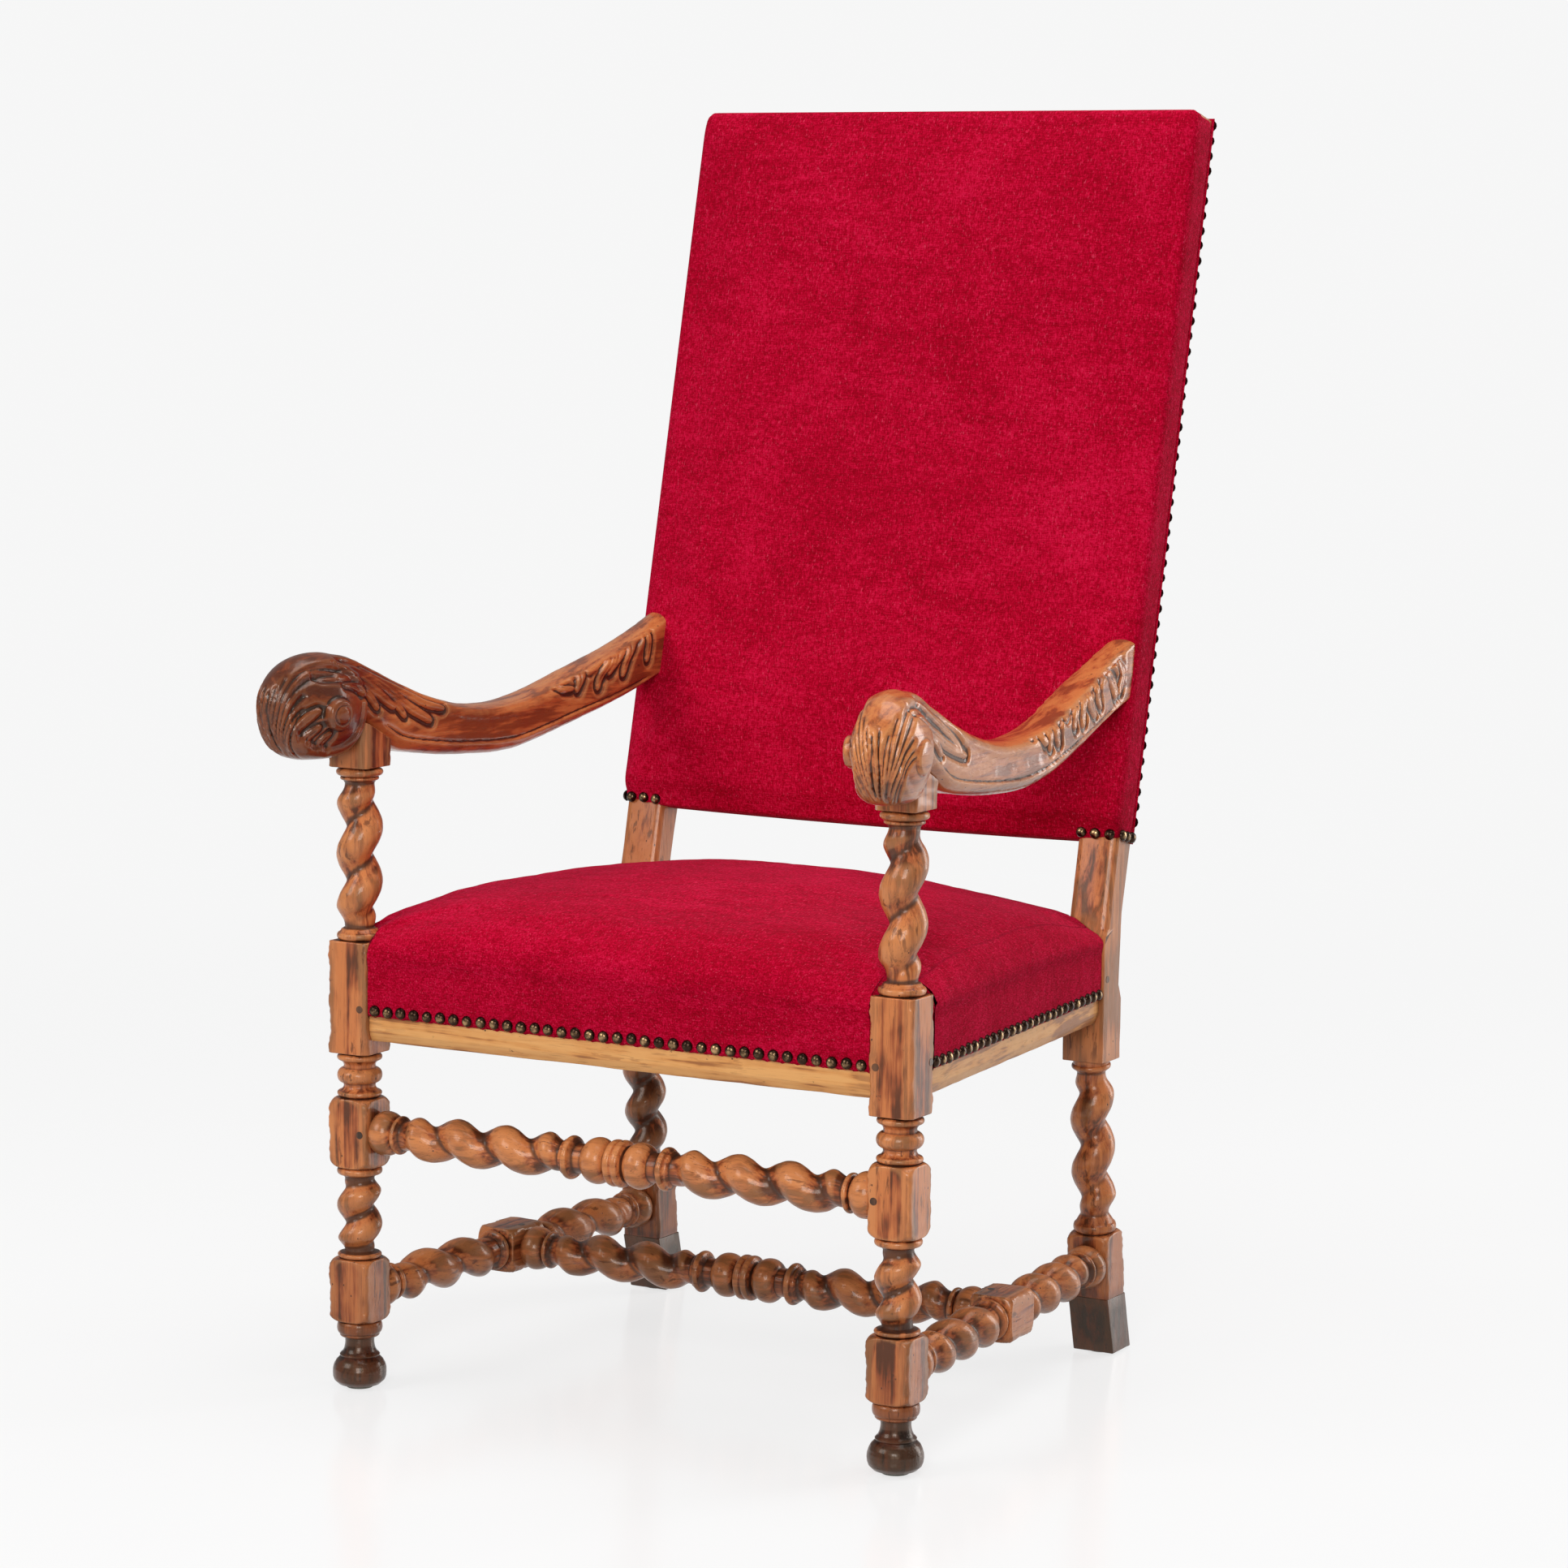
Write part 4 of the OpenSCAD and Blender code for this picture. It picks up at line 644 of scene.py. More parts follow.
@dataclass
class Piece:
    """One finished piece on its way from a bmesh to an object in the scene."""

    name: str
    material: bpy.types.Material
    slot: str
    nodes: tuple[str, ...] = ()
    grain: Grain = Grain.Z
    sharp: float = 38.0
    rounds: int = 26
    relief_scale: float = 1.0
    # Share of painted shade on the piece, one value for all points or one for each.
    shade: float | Array = 0.0

    @classmethod
    def of(cls, node: str, work: str, material: bpy.types.Material, slot: str, **options) -> "Piece":
        """A piece that stands for one CAD node and is named after it and its work."""
        return cls("%s_%s" % (node, work), material, slot, (node,), **options)

    def make(self, bm: Form, place: Matrix = Matrix.Identity(4)) -> bpy.types.Object:
        """Turns a bmesh in millimetres into the finished object.

        Args:
            bm: The mesh in the piece's own frame. It is freed.
            place: From the piece's own frame to the chair's plan.

        Returns:
            The object, dressed and riding on the frame.
        """
        local = points_of(bm)
        bm.transform(moved(0, PLAN_SHIFT, 0) @ place)
        bm.transform(Matrix.Scale(MM, 4))
        return self.dress(mesh_from(bm, self.name), local)

    def dress(self, mesh: bpy.types.Mesh, local: Array) -> bpy.types.Object:
        """Gives a mesh in metres its attributes, material and place in the scene.

        Args:
            mesh: The finished mesh.
            local: Its points in the piece's own frame, in millimetres.

        Returns:
            The object.
        """
        seed = sum(ord(c) * (i + 3) for i, c in enumerate(self.name)) % 97
        shift = seed * np.array([0.13, 0.071, 0.37])
        give_attribute(mesh, "grain", local[:, list(self.grain.value)] * MM + shift)
        give_attribute(mesh, "relief", relief_of(mesh, self.rounds) * self.relief_scale)
        give_attribute(mesh, "shade", self.darkness(mesh))
        mesh.polygons.foreach_set("use_smooth", [True] * len(mesh.polygons))
        mesh.set_sharp_from_angle(angle=math.radians(self.sharp))
        obj = placed(self.name, mesh)
        mesh.materials.append(self.material)
        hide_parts(*self.nodes)
        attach(obj, "root")
        log.info("%s: %d faces", self.name, len(mesh.polygons))
        return obj

    def darkness(self, mesh: bpy.types.Mesh) -> Array:
        """How dark each point is painted: darker towards the floor, as dark as the feet just above them, and by the
        piece's share of painted shading.
        """
        z = read(mesh.vertices, "co")[:, 2] / MM
        # Darker towards the floor, and as dark as the feet below 68 mm.
        low = 0.42 * ease((230 - z) / 200) + 0.4 * ease((68 - z) / 10)
        return np.clip(self.shade + low, 0, 1)


# ---- turned work


def ring(z0: float, z1: float, base: float, r: float) -> Profile:
    """Half round ring between two heights, standing out from a base radius."""
    return [(base + (r - base) * math.sin(a), mix(z0, z1, (1 - math.cos(a)) / 2)) for a in np.linspace(0, math.pi, 15)]


def cove(z0: float, r0: float, z1: float, r1: float, deep: float) -> Profile:
    """Hollow curve between two radii."""
    return [(mix(r0, r1, t) - deep * math.sin(math.pi * t), mix(z0, z1, t)) for t in np.linspace(0.1, 0.9, 9)]


def ball(zc: float, wide: float, r: float) -> Profile:
    """Flattened ball round a centre height, cut off at its necks."""
    top = math.radians(60)
    return [(r * (0.3 + 0.7 * math.cos(a)), zc + wide * math.sin(a) / math.sin(top))
            for a in np.linspace(-top, top, 21)]


def flipped(profile: Profile) -> Profile:
    """A profile seen from its other end."""
    return [(r, -z) for r, z in reversed(profile)]


@dataclass
class Rope:
    """One length of right-handed rope turning."""

    z0: float
    length: float
    pitch: float
    phase: float
    ridge: float = ROPE_RIDGE
    groove: float = ROPE_GROOVE

    def radius(self, z: Array, phi: Array) -> Array:
        """Radius of the rope.

        Args:
            z: Heights.
            phi: Angles in radians.

        Returns:
            The radius at each point.
        """
        soft = 0.26
        full = math.sqrt(1 + soft * soft)
        t = (z - self.z0) / self.length
        psi = phi - math.radians(self.phase) - FULL * (z - self.z0) / self.pitch
        depth = (self.ridge - self.groove) / (1 - soft / full)
        swell = self.ridge - depth * (1 - np.sqrt(np.cos(psi / 2) ** 2 + soft * soft) / full)
        return mix(NECK, swell, ease(np.minimum(t, 1 - t) * self.length / self.pitch / 0.4))


@dataclass
class Block:
    """A square block left on the turning, rounded off by the lathe at the chosen ends."""

    z0: float
    z1: float
    shoulder: float = 12.5
    low: bool = True
    high: bool = True
    half_x: float = HALF
    half_y: float = HALF
    corner_cut: tuple[float, float] | None = None

    def radius(self, z: Array, phi: Array) -> Array:
        """Radius of the block.

        Args:
            z: Heights.
            phi: Angles in radians.

        Returns:
            The radius at each point.
        """
        arris, outside = 1.2, 40.0
        end = np.clip(np.minimum(z - self.z0, self.z1 - z), 0, arris)
        inset = arris - np.sqrt(np.maximum(arris ** 2 - (arris - end) ** 2, 0))
        a, b = self.half_x - inset, self.half_y - inset
        r = softmin(a / np.maximum(np.abs(np.cos(phi)), 1e-3), b / np.maximum(np.abs(np.sin(phi)), 1e-3), 0.12)
        corner = np.floor(phi / QUARTER) * 2.4 + self.z0 * 0.7
        wear = 1.5
        for deep, often, turn in ((0.55, 0.13, 1.0), (0.45, 0.31, 2.3), (0.3, 0.83, 1.7)):
            wear = wear + deep * np.sin(z * often + turn * corner)
        wear = wear + 1.1 * np.clip(np.sin(z * 0.055 + 3.1 * corner), 0, 1) ** 4
        r = softmin(r, ((a + b) / math.sqrt(2) - wear) / np.cos(phi % QUARTER - QUARTER / 2), 0.25)
        if self.corner_cut:
            angle, distance = self.corner_cut
            facing = np.cos(phi - angle)
            r = softmin(r, np.where(facing > 0.3, distance / np.maximum(facing, 0.3), 99), 0.25)
        r0 = min(self.half_x, self.half_y) - 1
        limit = np.full_like(z, outside)
        for used, d in ((self.low, z - self.z0), (self.high, self.z1 - z)):
            if used:
                u = np.clip(d / self.shoulder, 0, 1)
                round_off = r0 + (30 - r0) * np.sqrt(1 - (1 - u) ** 2)
                limit = np.minimum(limit, np.where(u < 1, round_off, outside))
        return softmin(r, limit, 0.22)


@dataclass
class Turning:
    """One piece of turned work: lathe profiles, blocks and ropes along one axis."""

    profile: Profile
    ropes: list[Rope] = field(default_factory=list)
    blocks: list[Block] = field(default_factory=list)
    segments: int = 88
    fine: float = 0.85
    coarse: float = 3.0
    hand: float = 0.28

    def stations(self) -> Array:
        """Heights of the rings, dense where the surface turns quickly."""
        z_low, z_high = self.profile[0][1], self.profile[-1][1]
        marks = [z for _, z in self.profile]
        for block in self.blocks:
            reach = block.shoulder + 1.5
            for used, end, way in ((block.low, block.z0, 1), (block.high, block.z1, -1)):
                near = np.linspace(0, 1, 16) ** 1.5 * (reach if used else 2.0)
                marks += [end + way * d for d in near] + [end - way * 0.12]
            marks += list(np.arange(block.z0 + reach, block.z1 - reach, self.coarse))
        for rope in self.ropes:
            marks += list(np.linspace(rope.z0, rope.z0 + rope.length, int(rope.length / 1.45)))
        marks = np.array(sorted(m for m in marks if z_low <= m <= z_high))
        kept = [marks[0]]
        for z in marks[1:]:
            inside = any(b.z0 + 3 < z < b.z1 - 3 for b in self.blocks)
            gap = z - kept[-1]
            step = self.coarse if inside else self.fine * 1.9
            if gap > step * 1.3:
                kept += list(np.linspace(kept[-1], z, int(math.ceil(gap / step)) + 1)[1:])
            elif gap >= 0.11:
                kept.append(z)
        return np.array(kept)

    def radius(self, z: Array, phi: Array) -> Array:
        """Radius of the whole turning.

        Args:
            z: Heights.
            phi: Angles in radians.

        Returns:
            The radius at each point.
        """
        rs, zs = zip(*self.profile)
        r = np.interp(z, zs, rs)
        for rope in self.ropes:
            inside = (z > rope.z0) & (z < rope.z0 + rope.length)
            r = np.where(inside, rope.radius(z, phi), r)
        for block in self.blocks:
            inside = (z >= block.z0) & (z <= block.z1)
            r = np.where(inside, block.radius(z, phi), r)
        return r

    def mesh(self, seed: float = 0.0) -> Form:
        """Builds the turning as one closed form standing on its lower end.

        Args:
            seed: Moves the small unevenness of hand work.

        Returns:
            The bmesh in millimetres.
        """
        z = self.stations()
        bm = tube(len(z), self.segments)
        raw = points_of(bm)
        phi = np.arctan2(raw[:, 1], raw[:, 0])
        index, _, pole = tube_places(raw, len(z), self.segments)
        height = z[index]
        wave = (np.sin(height * 0.21 + seed) * np.cos(phi * 2 + seed * 1.7)
                + np.sin(height * 0.083 + 3 * phi + seed * 2.3) + 0.6 * np.sin(height * 0.57 + 2 * phi + seed))
        r = self.radius(height, phi)
        r = np.where(pole, 0.0, r + self.hand * 0.4 * wave * ease((r - 12) / 6))
        put_points(bm, np.stack([r * np.cos(phi), r * np.sin(phi), height], axis=1))
        return bm


def bisected(bm: Form, point: Sequence[float], normal: Sequence[float], clear: bool) -> dict:
    """Cuts a mesh along a plane, with what lies on the normal's side cleared away or kept."""
    return bmesh.ops.bisect_plane(bm, geom=[*bm.verts, *bm.edges, *bm.faces], dist=MERGE, plane_co=point,
                                  plane_no=normal, clear_outer=clear)


def cut(bm: Form, point: Sequence[float], normal: Sequence[float]) -> None:
    """Cuts away what lies on the normal's side of a plane and closes the cut."""
    made = bisected(bm, point, normal, True)
    edges = [e for e in made["geom_cut"] if isinstance(e, bmesh.types.BMEdge)]
    bmesh.ops.holes_fill(bm, edges=edges, sides=0)


def join(bm: Form, other: Form) -> None:
    """Adds another bmesh's faces to the first one and frees it."""
    mesh = mesh_from(other, "joined")
    bm.from_mesh(mesh)
    bpy.data.meshes.remove(mesh)


def extruded(outline: Sequence[tuple[float, float, float]], along: Sequence[float]) -> Form:
    """A straight piece pushed out of one flat outline.

    Args:
        outline: Corners of the end face.
        along: Vector of the extrusion.

    Returns:
        The closed bmesh with outward normals.
    """
    bm = bmesh.new()
    face = bm.faces.new([bm.verts.new(p) for p in outline])
    made = bmesh.ops.extrude_face_region(bm, geom=[face], use_keep_orig=True)
    bmesh.ops.translate(bm, verts=[g for g in made["geom"] if isinstance(g, bmesh.types.BMVert)], vec=along)
    bmesh.ops.recalc_face_normals(bm, faces=bm.faces)
    return bm


def soften(bm: Form, width: float, dents: float = 0.5, pieces: float = 9.0) -> None:
    """Rounds the arrises of a piece and wears them unevenly.

    Args:
        bm: The mesh.
        width: Width of the rounding.
        dents: How far the worn arrises wander.
        pieces: Length of the steps along them.
    """
    sharp = [e for e in bm.edges if len(e.link_faces) == 2 and e.calc_face_angle(0) > math.radians(20)]
    bmesh.ops.bevel(bm, geom=sharp, offset=width, offset_type="OFFSET", segments=3, profile=0.5, affect="EDGES",
                    material=-1)
    for _ in range(5):
        long = [e for e in bm.edges if e.calc_length() > pieces * 1.6]
        if not long:
            break
        bmesh.ops.subdivide_edges(bm, edges=long, cuts=1, use_grid_fill=True)
    bmesh.ops.triangulate(bm, faces=[f for f in bm.faces if len(f.verts) > 4])
    bm.normal_update()
    for v in bm.verts:
        turn = max((e.calc_face_angle(0) for e in v.link_edges if len(e.link_faces) == 2), default=0)
        v.co -= v.normal * (dents * (0.16 + (turn > 0.12)) * max(0.0, noise.noise(v.co * 0.045) + 0.1))


# ---- posts and stretchers


def core(z0: float, z1: float) -> Profile:
    """The turning's radius inside a square block."""
    return [(17, z0 - 0.1), (17, z1 + 0.1)]


@dataclass
class FrontPost:
    """Front post with its foot: three blocks, two ropes and the block that carries the arm."""

    finishes: Finishes
    side: Side
    low_pitch: tuple[float, float] = (34.5, 36.0)
    low_phase: tuple[float, float] = (130.0, 143.0)
    high_pitch: tuple[float, float] = (49.5, 52.0)
    high_phase: tuple[float, float] = (82.0, 45.0)
    cut_corner: tuple[float, float] = (315, 225)
    foot: tuple = ((12, 2), (16, 2.1), (19.5, 3.5), (23.4, 7.2), (24.7, 10.5), (25, 14), (24.7, 18), (23.6, 22),
                   (21.6, 25.6), (18.6, 28.6), (17.7, 29.4), (18.2, 30.2), (18.4, 31.2), (17.8, 32), (15.8, 34),
                   (14.4, 37), (13.7, 40), (13.4, 43), (13.6, FOOT_TOP + 0.4))

    def profile(self, low_rope: tuple[float, float], high_rope: tuple[float, float]) -> Profile:
        """Lathe profile of the post.

        Args:
            low_rope: Ends of the lower rope.
            high_rope: Ends of the upper rope.

        Returns:
            The profile.
        """
        low, mid, seat = LOW_BLOCK, MID_BLOCK, SEAT_BLOCK
        (low0, low1), (high0, high1) = low_rope, high_rope
        profile = [(13.4, FOOT_TOP), (17.6, FOOT_TOP + 1.6), (18.4, FOOT_TOP + 2.5), (18.4, FOOT_TOP + 4.4)]
        profile += ring(FOOT_TOP + 4.5, low[0] - 0.8, 18.6, HALF) + core(*low)
        profile += ring(low[1] + 0.8, low[1] + 5.4, 17.4, 20.4) + [(16.5, low0 - 1.5), (NECK, low0)]
        profile += [(NECK, low1), (14.6, low1 + 2), (18, low1 + 3.4)]
        profile += ring(low1 + 3.6, mid[0] - 0.8, 18.2, HALF) + core(*mid)
        profile += ring(mid[1] + 1.2, mid[1] + 6.6, 17.5, 20.6) + cove(mid[1] + 7, 17, mid[1] + 13, 15, 1.2)
        profile += ring(mid[1] + 13.5, mid[1] + 27.5, 14.8, HALF - 0.2) + cove(mid[1] + 28, 15, mid[1] + 34, 17, 1.2)
        profile += ring(mid[1] + 34.5, seat[0] - 1.4, 17.5, HALF - 0.2) + core(*seat)
        profile += ring(seat[1] + 0.8, seat[1] + 7.6, 18, HALF) + [(16.8, high0 - 2), (NECK, high0)]
        profile += [(NECK, high1), (15, high1 + 2.4)] + ring(high1 + 2.8, high1 + 6.4, 15.8, 17.8)
        return profile + ring(high1 + 6.6, high1 + 14, 17, HALF + 0.5) + [(17, ARM_BLOCK - 0.1), (17, ARM_TOP)]

    def build(self) -> None:
        """Builds the post and the foot."""
        pick, way, word = self.side.pick, self.side.value, self.side.word
        low0, low1 = LOW_BLOCK[1] + 7, MID_BLOCK[0] - 11
        high0, high1 = SEAT_BLOCK[1] + 12, ARM_BLOCK - 15
        ropes = [Rope(low0, low1 - low0, pick(self.low_pitch), pick(self.low_phase), 20.8, 12.4),
                 Rope(high0, high1 - high0, pick(self.high_pitch), pick(self.high_phase))]
        blocks = [Block(*LOW_BLOCK), Block(*MID_BLOCK, shoulder=16), Block(*SEAT_BLOCK, low=False, high=False),
                  Block(ARM_BLOCK, ARM_TOP, low=False, high=False,
                        corner_cut=(math.radians(pick(self.cut_corner)), 25.5))]
        bm = Turning(self.profile((low0, low1), (high0, high1)), ropes, blocks, segments=96).mesh(seed=1.3 + way)
        cut(bm, (0, -HALF, 622), (0, 20 / STOCK, 1))
        place = moved(way * FRONT_HALF, 0, 0)
        Piece.of("front_post_" + word, "turned", self.finishes.turned, "turned_wood").make(bm, place)
        bm = Turning(self.foot, segments=72, fine=0.7, hand=0.35).mesh(seed=4.1 * way)
        Piece.of("front_foot_" + word, "turned", self.finishes.foot, "dark_wood").make(bm, place)


@dataclass
class RearPost:
    """Rear post: a turned leg that slopes back, a seat block and an upper post that leans, with its foot."""

    finishes: Finishes
    side: Side
    pitch: tuple[float, float] = (41.5, 51.5)
    phase: tuple[float, float] = (155.0, 277.0)
    rope_reach: tuple[float, float] = (12.0, 152.0)
    chamfer: float = 8.0
    # Painted shade on the left and the right rear post.
    shades: tuple[float, float] = (0.34, 0.12)

    def build(self) -> None:
        """Builds the leg, the upper post and the foot."""
        near, far = self.rope_reach
        profile = [(17, -262), (17, -169), *ring(-168.9, -160.5, 18.4, HALF - 0.4), (18, -159.6), (15.2, -155),
                   (NECK, -far), (NECK, -near), (15, -10), (16.6, -9), *ring(-8.6, -3.4, 16.6, 18.8), (17, -2), (17, 6)]
        ropes = [Rope(-far, far - near, self.side.pick(self.pitch), self.side.pick(self.phase))]
        blocks = [Block(-250, -170, low=False, half_y=REAR_STOCK / 2)]
        bm = Turning(profile, ropes, blocks).mesh(seed=2.2 * self.side.value)
        bm.transform(leg_matrix(self.side))
        cut(bm, (0, 0, SPLICE_Z), (0, 0, -1))
        join(bm, self.upper())
        Piece.of("rear_post_" + self.side.word, "turned", self.finishes.turned, "turned_wood", rounds=14,
                 shade=self.side.pick(self.shades)).make(bm)
        slope = math.radians(LEG_SLOPE)
        top = REAR_FRONT + (REAR_BLOCK_Z - SPLICE_Z) * math.tan(slope)
        low = top + FOOT_KICK
        bm = self.beam([(top, SPLICE_Z), (low, 2), (low + REAR_STOCK, 2),
                        (top + REAR_STOCK / math.cos(slope), SPLICE_Z)])
        soften(bm, 1.2)
        Piece.of("rear_foot_" + self.side.word, "spliced", self.finishes.foot, "dark_wood", rounds=6).make(bm)

    def beam(self, outline: Sequence[tuple[float, float]]) -> Form:
        """A piece as wide as the post, from its outline in Y and Z."""
        bm = extruded([(0, y, z) for y, z in outline], (STOCK, 0, 0))
        bmesh.ops.translate(bm, verts=bm.verts, vec=(self.side.value * REAR_HALF - HALF, 0, 0))
        return bm

    def upper(self) -> Form:
        """The seat block and the leaning post above it, chamfered at its front corners."""
        def face(z: float) -> float:
            """Y of the front face at a height."""
            return REAR_FRONT + max(0.0, z - LEAN_Z) * BACK_LEAN

        top, tip = LEAN_Z + WOOD_S1 * math.cos(LEAN), REAR_FRONT + WOOD_S1 * math.sin(LEAN)
        bm = self.beam([(REAR_BACK, REAR_BLOCK_Z), (REAR_BACK, 348), (REAR_BACK - 6, 362), (face(430) + 31.2, 430),
                        (face(500) + 33, 500), (tip + POST_D * math.cos(LEAN), top - POST_D * math.sin(LEAN)),
                        (tip, top), (REAR_FRONT, LEAN_Z), (REAR_FRONT, REAR_BLOCK_Z)])
        for z in (412, 418, 425, 440, 460, 480):
            bisected(bm, (0, 0, z), (0, 0, 1), False)
        corner = [e for e in bm.edges if all(415 < v.co.z < 1200 and abs(v.co.y - face(v.co.z)) < 0.2 for v in e.verts)
                  and abs(e.verts[0].co.z - e.verts[1].co.z) > 1]
        bmesh.ops.bevel(bm, geom=corner, offset=self.chamfer / 1.15, offset_type="OFFSET", segments=2, profile=0.5,
                        affect="EDGES", material=-1, clamp_overlap=False)
        soften(bm, 1.1)
        return bm


@dataclass
class Stretchers:
    """The four stretchers between the posts."""

    finishes: Finishes
    end_l: float = 30.0
    centre_l: float = 58.0
    block_half: float = 27.0

    def end(self, s: float) -> Profile:
        """Ball, collar and neck at the lower end of a stretcher."""
        top, low = math.sin(math.radians(60)), math.sin(math.radians(40))
        balls = [(20.8 * (0.3 + 0.7 * math.cos(a)), s + 22 * (math.sin(a) + low) / (top + low))
                 for a in np.radians(np.linspace(-40, 60, 22))]
        return balls + [(15.5, s + 22.4)] + ring(s + 22.6, s + 27.4, 15.8, 17.8) + [(NECK, s + self.end_l)]

    def centre(self) -> Profile:
        """Rings, balls and the double disc at the middle of a long stretcher."""
        half = [*ring(0.4, 7.2, 19.4, HALF + 0.2), (17.5, 8.6), *ball(22, 12.5, HALF), (13.4, 38.5), (13.6, 43),
                (16.6, 45.6), *ring(46, 52.6, 17, 19.8), (16.8, 53.2), (16.4, 55.4), (NECK, self.centre_l)]
        return flipped(half) + half

    def long(self, node: str, reach: float, pitch: tuple[float, float], phase: tuple[float, float], place: Matrix,
             seed: float) -> None:
        """Builds a long stretcher with two ropes.

        Args:
            node: The CAD node it stands for.
            reach: Half its length between the shoulders.
            pitch: Pitches of the left and the right rope.
            phase: Their starting angles.
            place: From its axis to the chair's plan.
            seed: Moves the unevenness.
        """
        profile = [(15, -reach - 2)] + self.end(-reach) + self.centre() + flipped(self.end(-reach)) + [(15, reach + 2)]
        run = reach - self.end_l - self.centre_l
        ropes = [Rope(-reach + self.end_l, run, pitch[0], phase[0]), Rope(self.centre_l, run, pitch[1], phase[1])]
        bm = Turning(profile, ropes, segments=84).mesh(seed)
        Piece.of(node, "turned", self.finishes.turned, "turned_wood").make(bm, place @ turned(QUARTER, "Y"))

    def build(self) -> None:
        """Builds all four stretchers."""
        self.long("front_stretcher", FRONT_HALF - HALF, (51, 51.5), (129, 89), moved(0, 0, MID_AXIS), 0.7)
        cross_y = STRETCHER_MID * math.cos(STRETCHER_ANGLE)
        cross_x = FRONT_HALF - STRETCHER_MID * math.sin(STRETCHER_ANGLE) - HALF / math.cos(STRETCHER_ANGLE)
        self.long("cross_stretcher", cross_x, (51, 47), (172, 193), moved(0, cross_y, LOW_AXIS), 5.2)
        for side in Side:
            self.side_stretcher(side)

    def side_stretcher(self, side: Side) -> None:
        """Builds one side stretcher with its centre block.

        Args:
            side: Which side.
        """
        s0, s1, b = HALF, STRETCHER_LENGTH, self.block_half
        run = STRETCHER_MID - b - 9 - s0 - self.end_l
        collar = [(17, b + 0.1), (17, b + 1)] + ring(b + 1.2, b + 6, 16.8, 19) + [(16, b + 6.6), (NECK, b + 9)]
        middle = [(r, z + STRETCHER_MID) for r, z in flipped(collar) + collar]
        profile = [(15, s0 - 2), *self.end(s0), *middle, *((r, z + s1) for r, z in flipped(self.end(0))), (15, s1 + 4)]
        ropes = [Rope(s0 + self.end_l, run, side.pick((55, 51)), side.pick((301, 187))),
                 Rope(STRETCHER_MID + b + 9, run, side.pick((53.7, 49)), side.pick((315, 336)))]
        bm = Turning(profile, ropes, [Block(STRETCHER_MID - b, STRETCHER_MID + b)], segments=80).mesh(3.3 * side.value)
        Piece.of("side_stretcher_" + side.word, "turned", self.finishes.turned, "turned_wood").make(
            bm, stretcher_matrix(side))


# ---- seat rails


@dataclass
class SeatRails:
    """The four rails under the seat, their lower outer arrises chamfered."""

    finishes: Finishes
    section: tuple = ((0, RAIL_CHAMFER), (RAIL_CHAMFER * 0.45, 0), (RAIL_T, 0), (RAIL_T, RAIL_H), (0, RAIL_H))

    def rail(self, node: str, face: Sequence[tuple], along: Sequence[float], grain: Grain,
             material: bpy.types.Material) -> None:
        """Builds one rail.

        Args:
            node: The CAD node it stands for.
            face: Corners of its end face.
            along: From that face to the other end.
            grain: Direction of its fibres.
            material: Its material.
        """
        bm = extruded(face, along)
        soften(bm, 0.9, 0.7, 7.0)
        Piece.of(node, "planed", material, "rail_wood", grain=grain, rounds=6).make(bm)

    def build(self) -> None:
        """Builds the rails."""
        front, rear = FRONT_HALF - HALF, REAR_HALF - HALF
        self.rail("front_rail", [(-front, -HALF + RAIL_INSET + y, RAIL_Z + z) for y, z in self.section],
                  (2 * front, 0, 0), Grain.X, self.finishes.rail)
        self.rail("rear_rail", [(-rear, REAR_BACK - RAIL_INSET - y, RAIL_Z + z) for y, z in self.section],
                  (2 * rear, 0, 0), Grain.X, self.finishes.turned)
        for side in Side:
            x0, x1 = (side.value * (half + HALF - RAIL_INSET) for half in (FRONT_HALF, REAR_HALF))
            self.rail("side_rail_" + side.word, [(x0 - side.value * x, HALF, RAIL_Z + z) for x, z in self.section],
                      (x1 - x0, REAR_FRONT - HALF, 0), Grain.Y, self.finishes.rail)


# ---- arms


def smooth_table(rows: Sequence[tuple[float, float]], steps: int) -> Array:
    """A smooth curve through points.

    Args:
        rows: The points.
        steps: Steps between two of them.

    Returns:
        The points of a Catmull-Rom curve.
    """
    p = np.array([rows[0], *rows, rows[-1]], dtype=float)
    out = []
    for i in range(1, len(p) - 2):
        for t in np.arange(steps) / steps:
            a, b, c, d = p[i - 1], p[i], p[i + 1], p[i + 2]
            out.append(0.5 * (2 * b + (c - a) * t + (2 * a - 5 * b + 4 * c - d) * t ** 2
                              + (3 * b - a - 3 * c + d) * t ** 3))
    out.append(p[-2])
    return np.array(out)


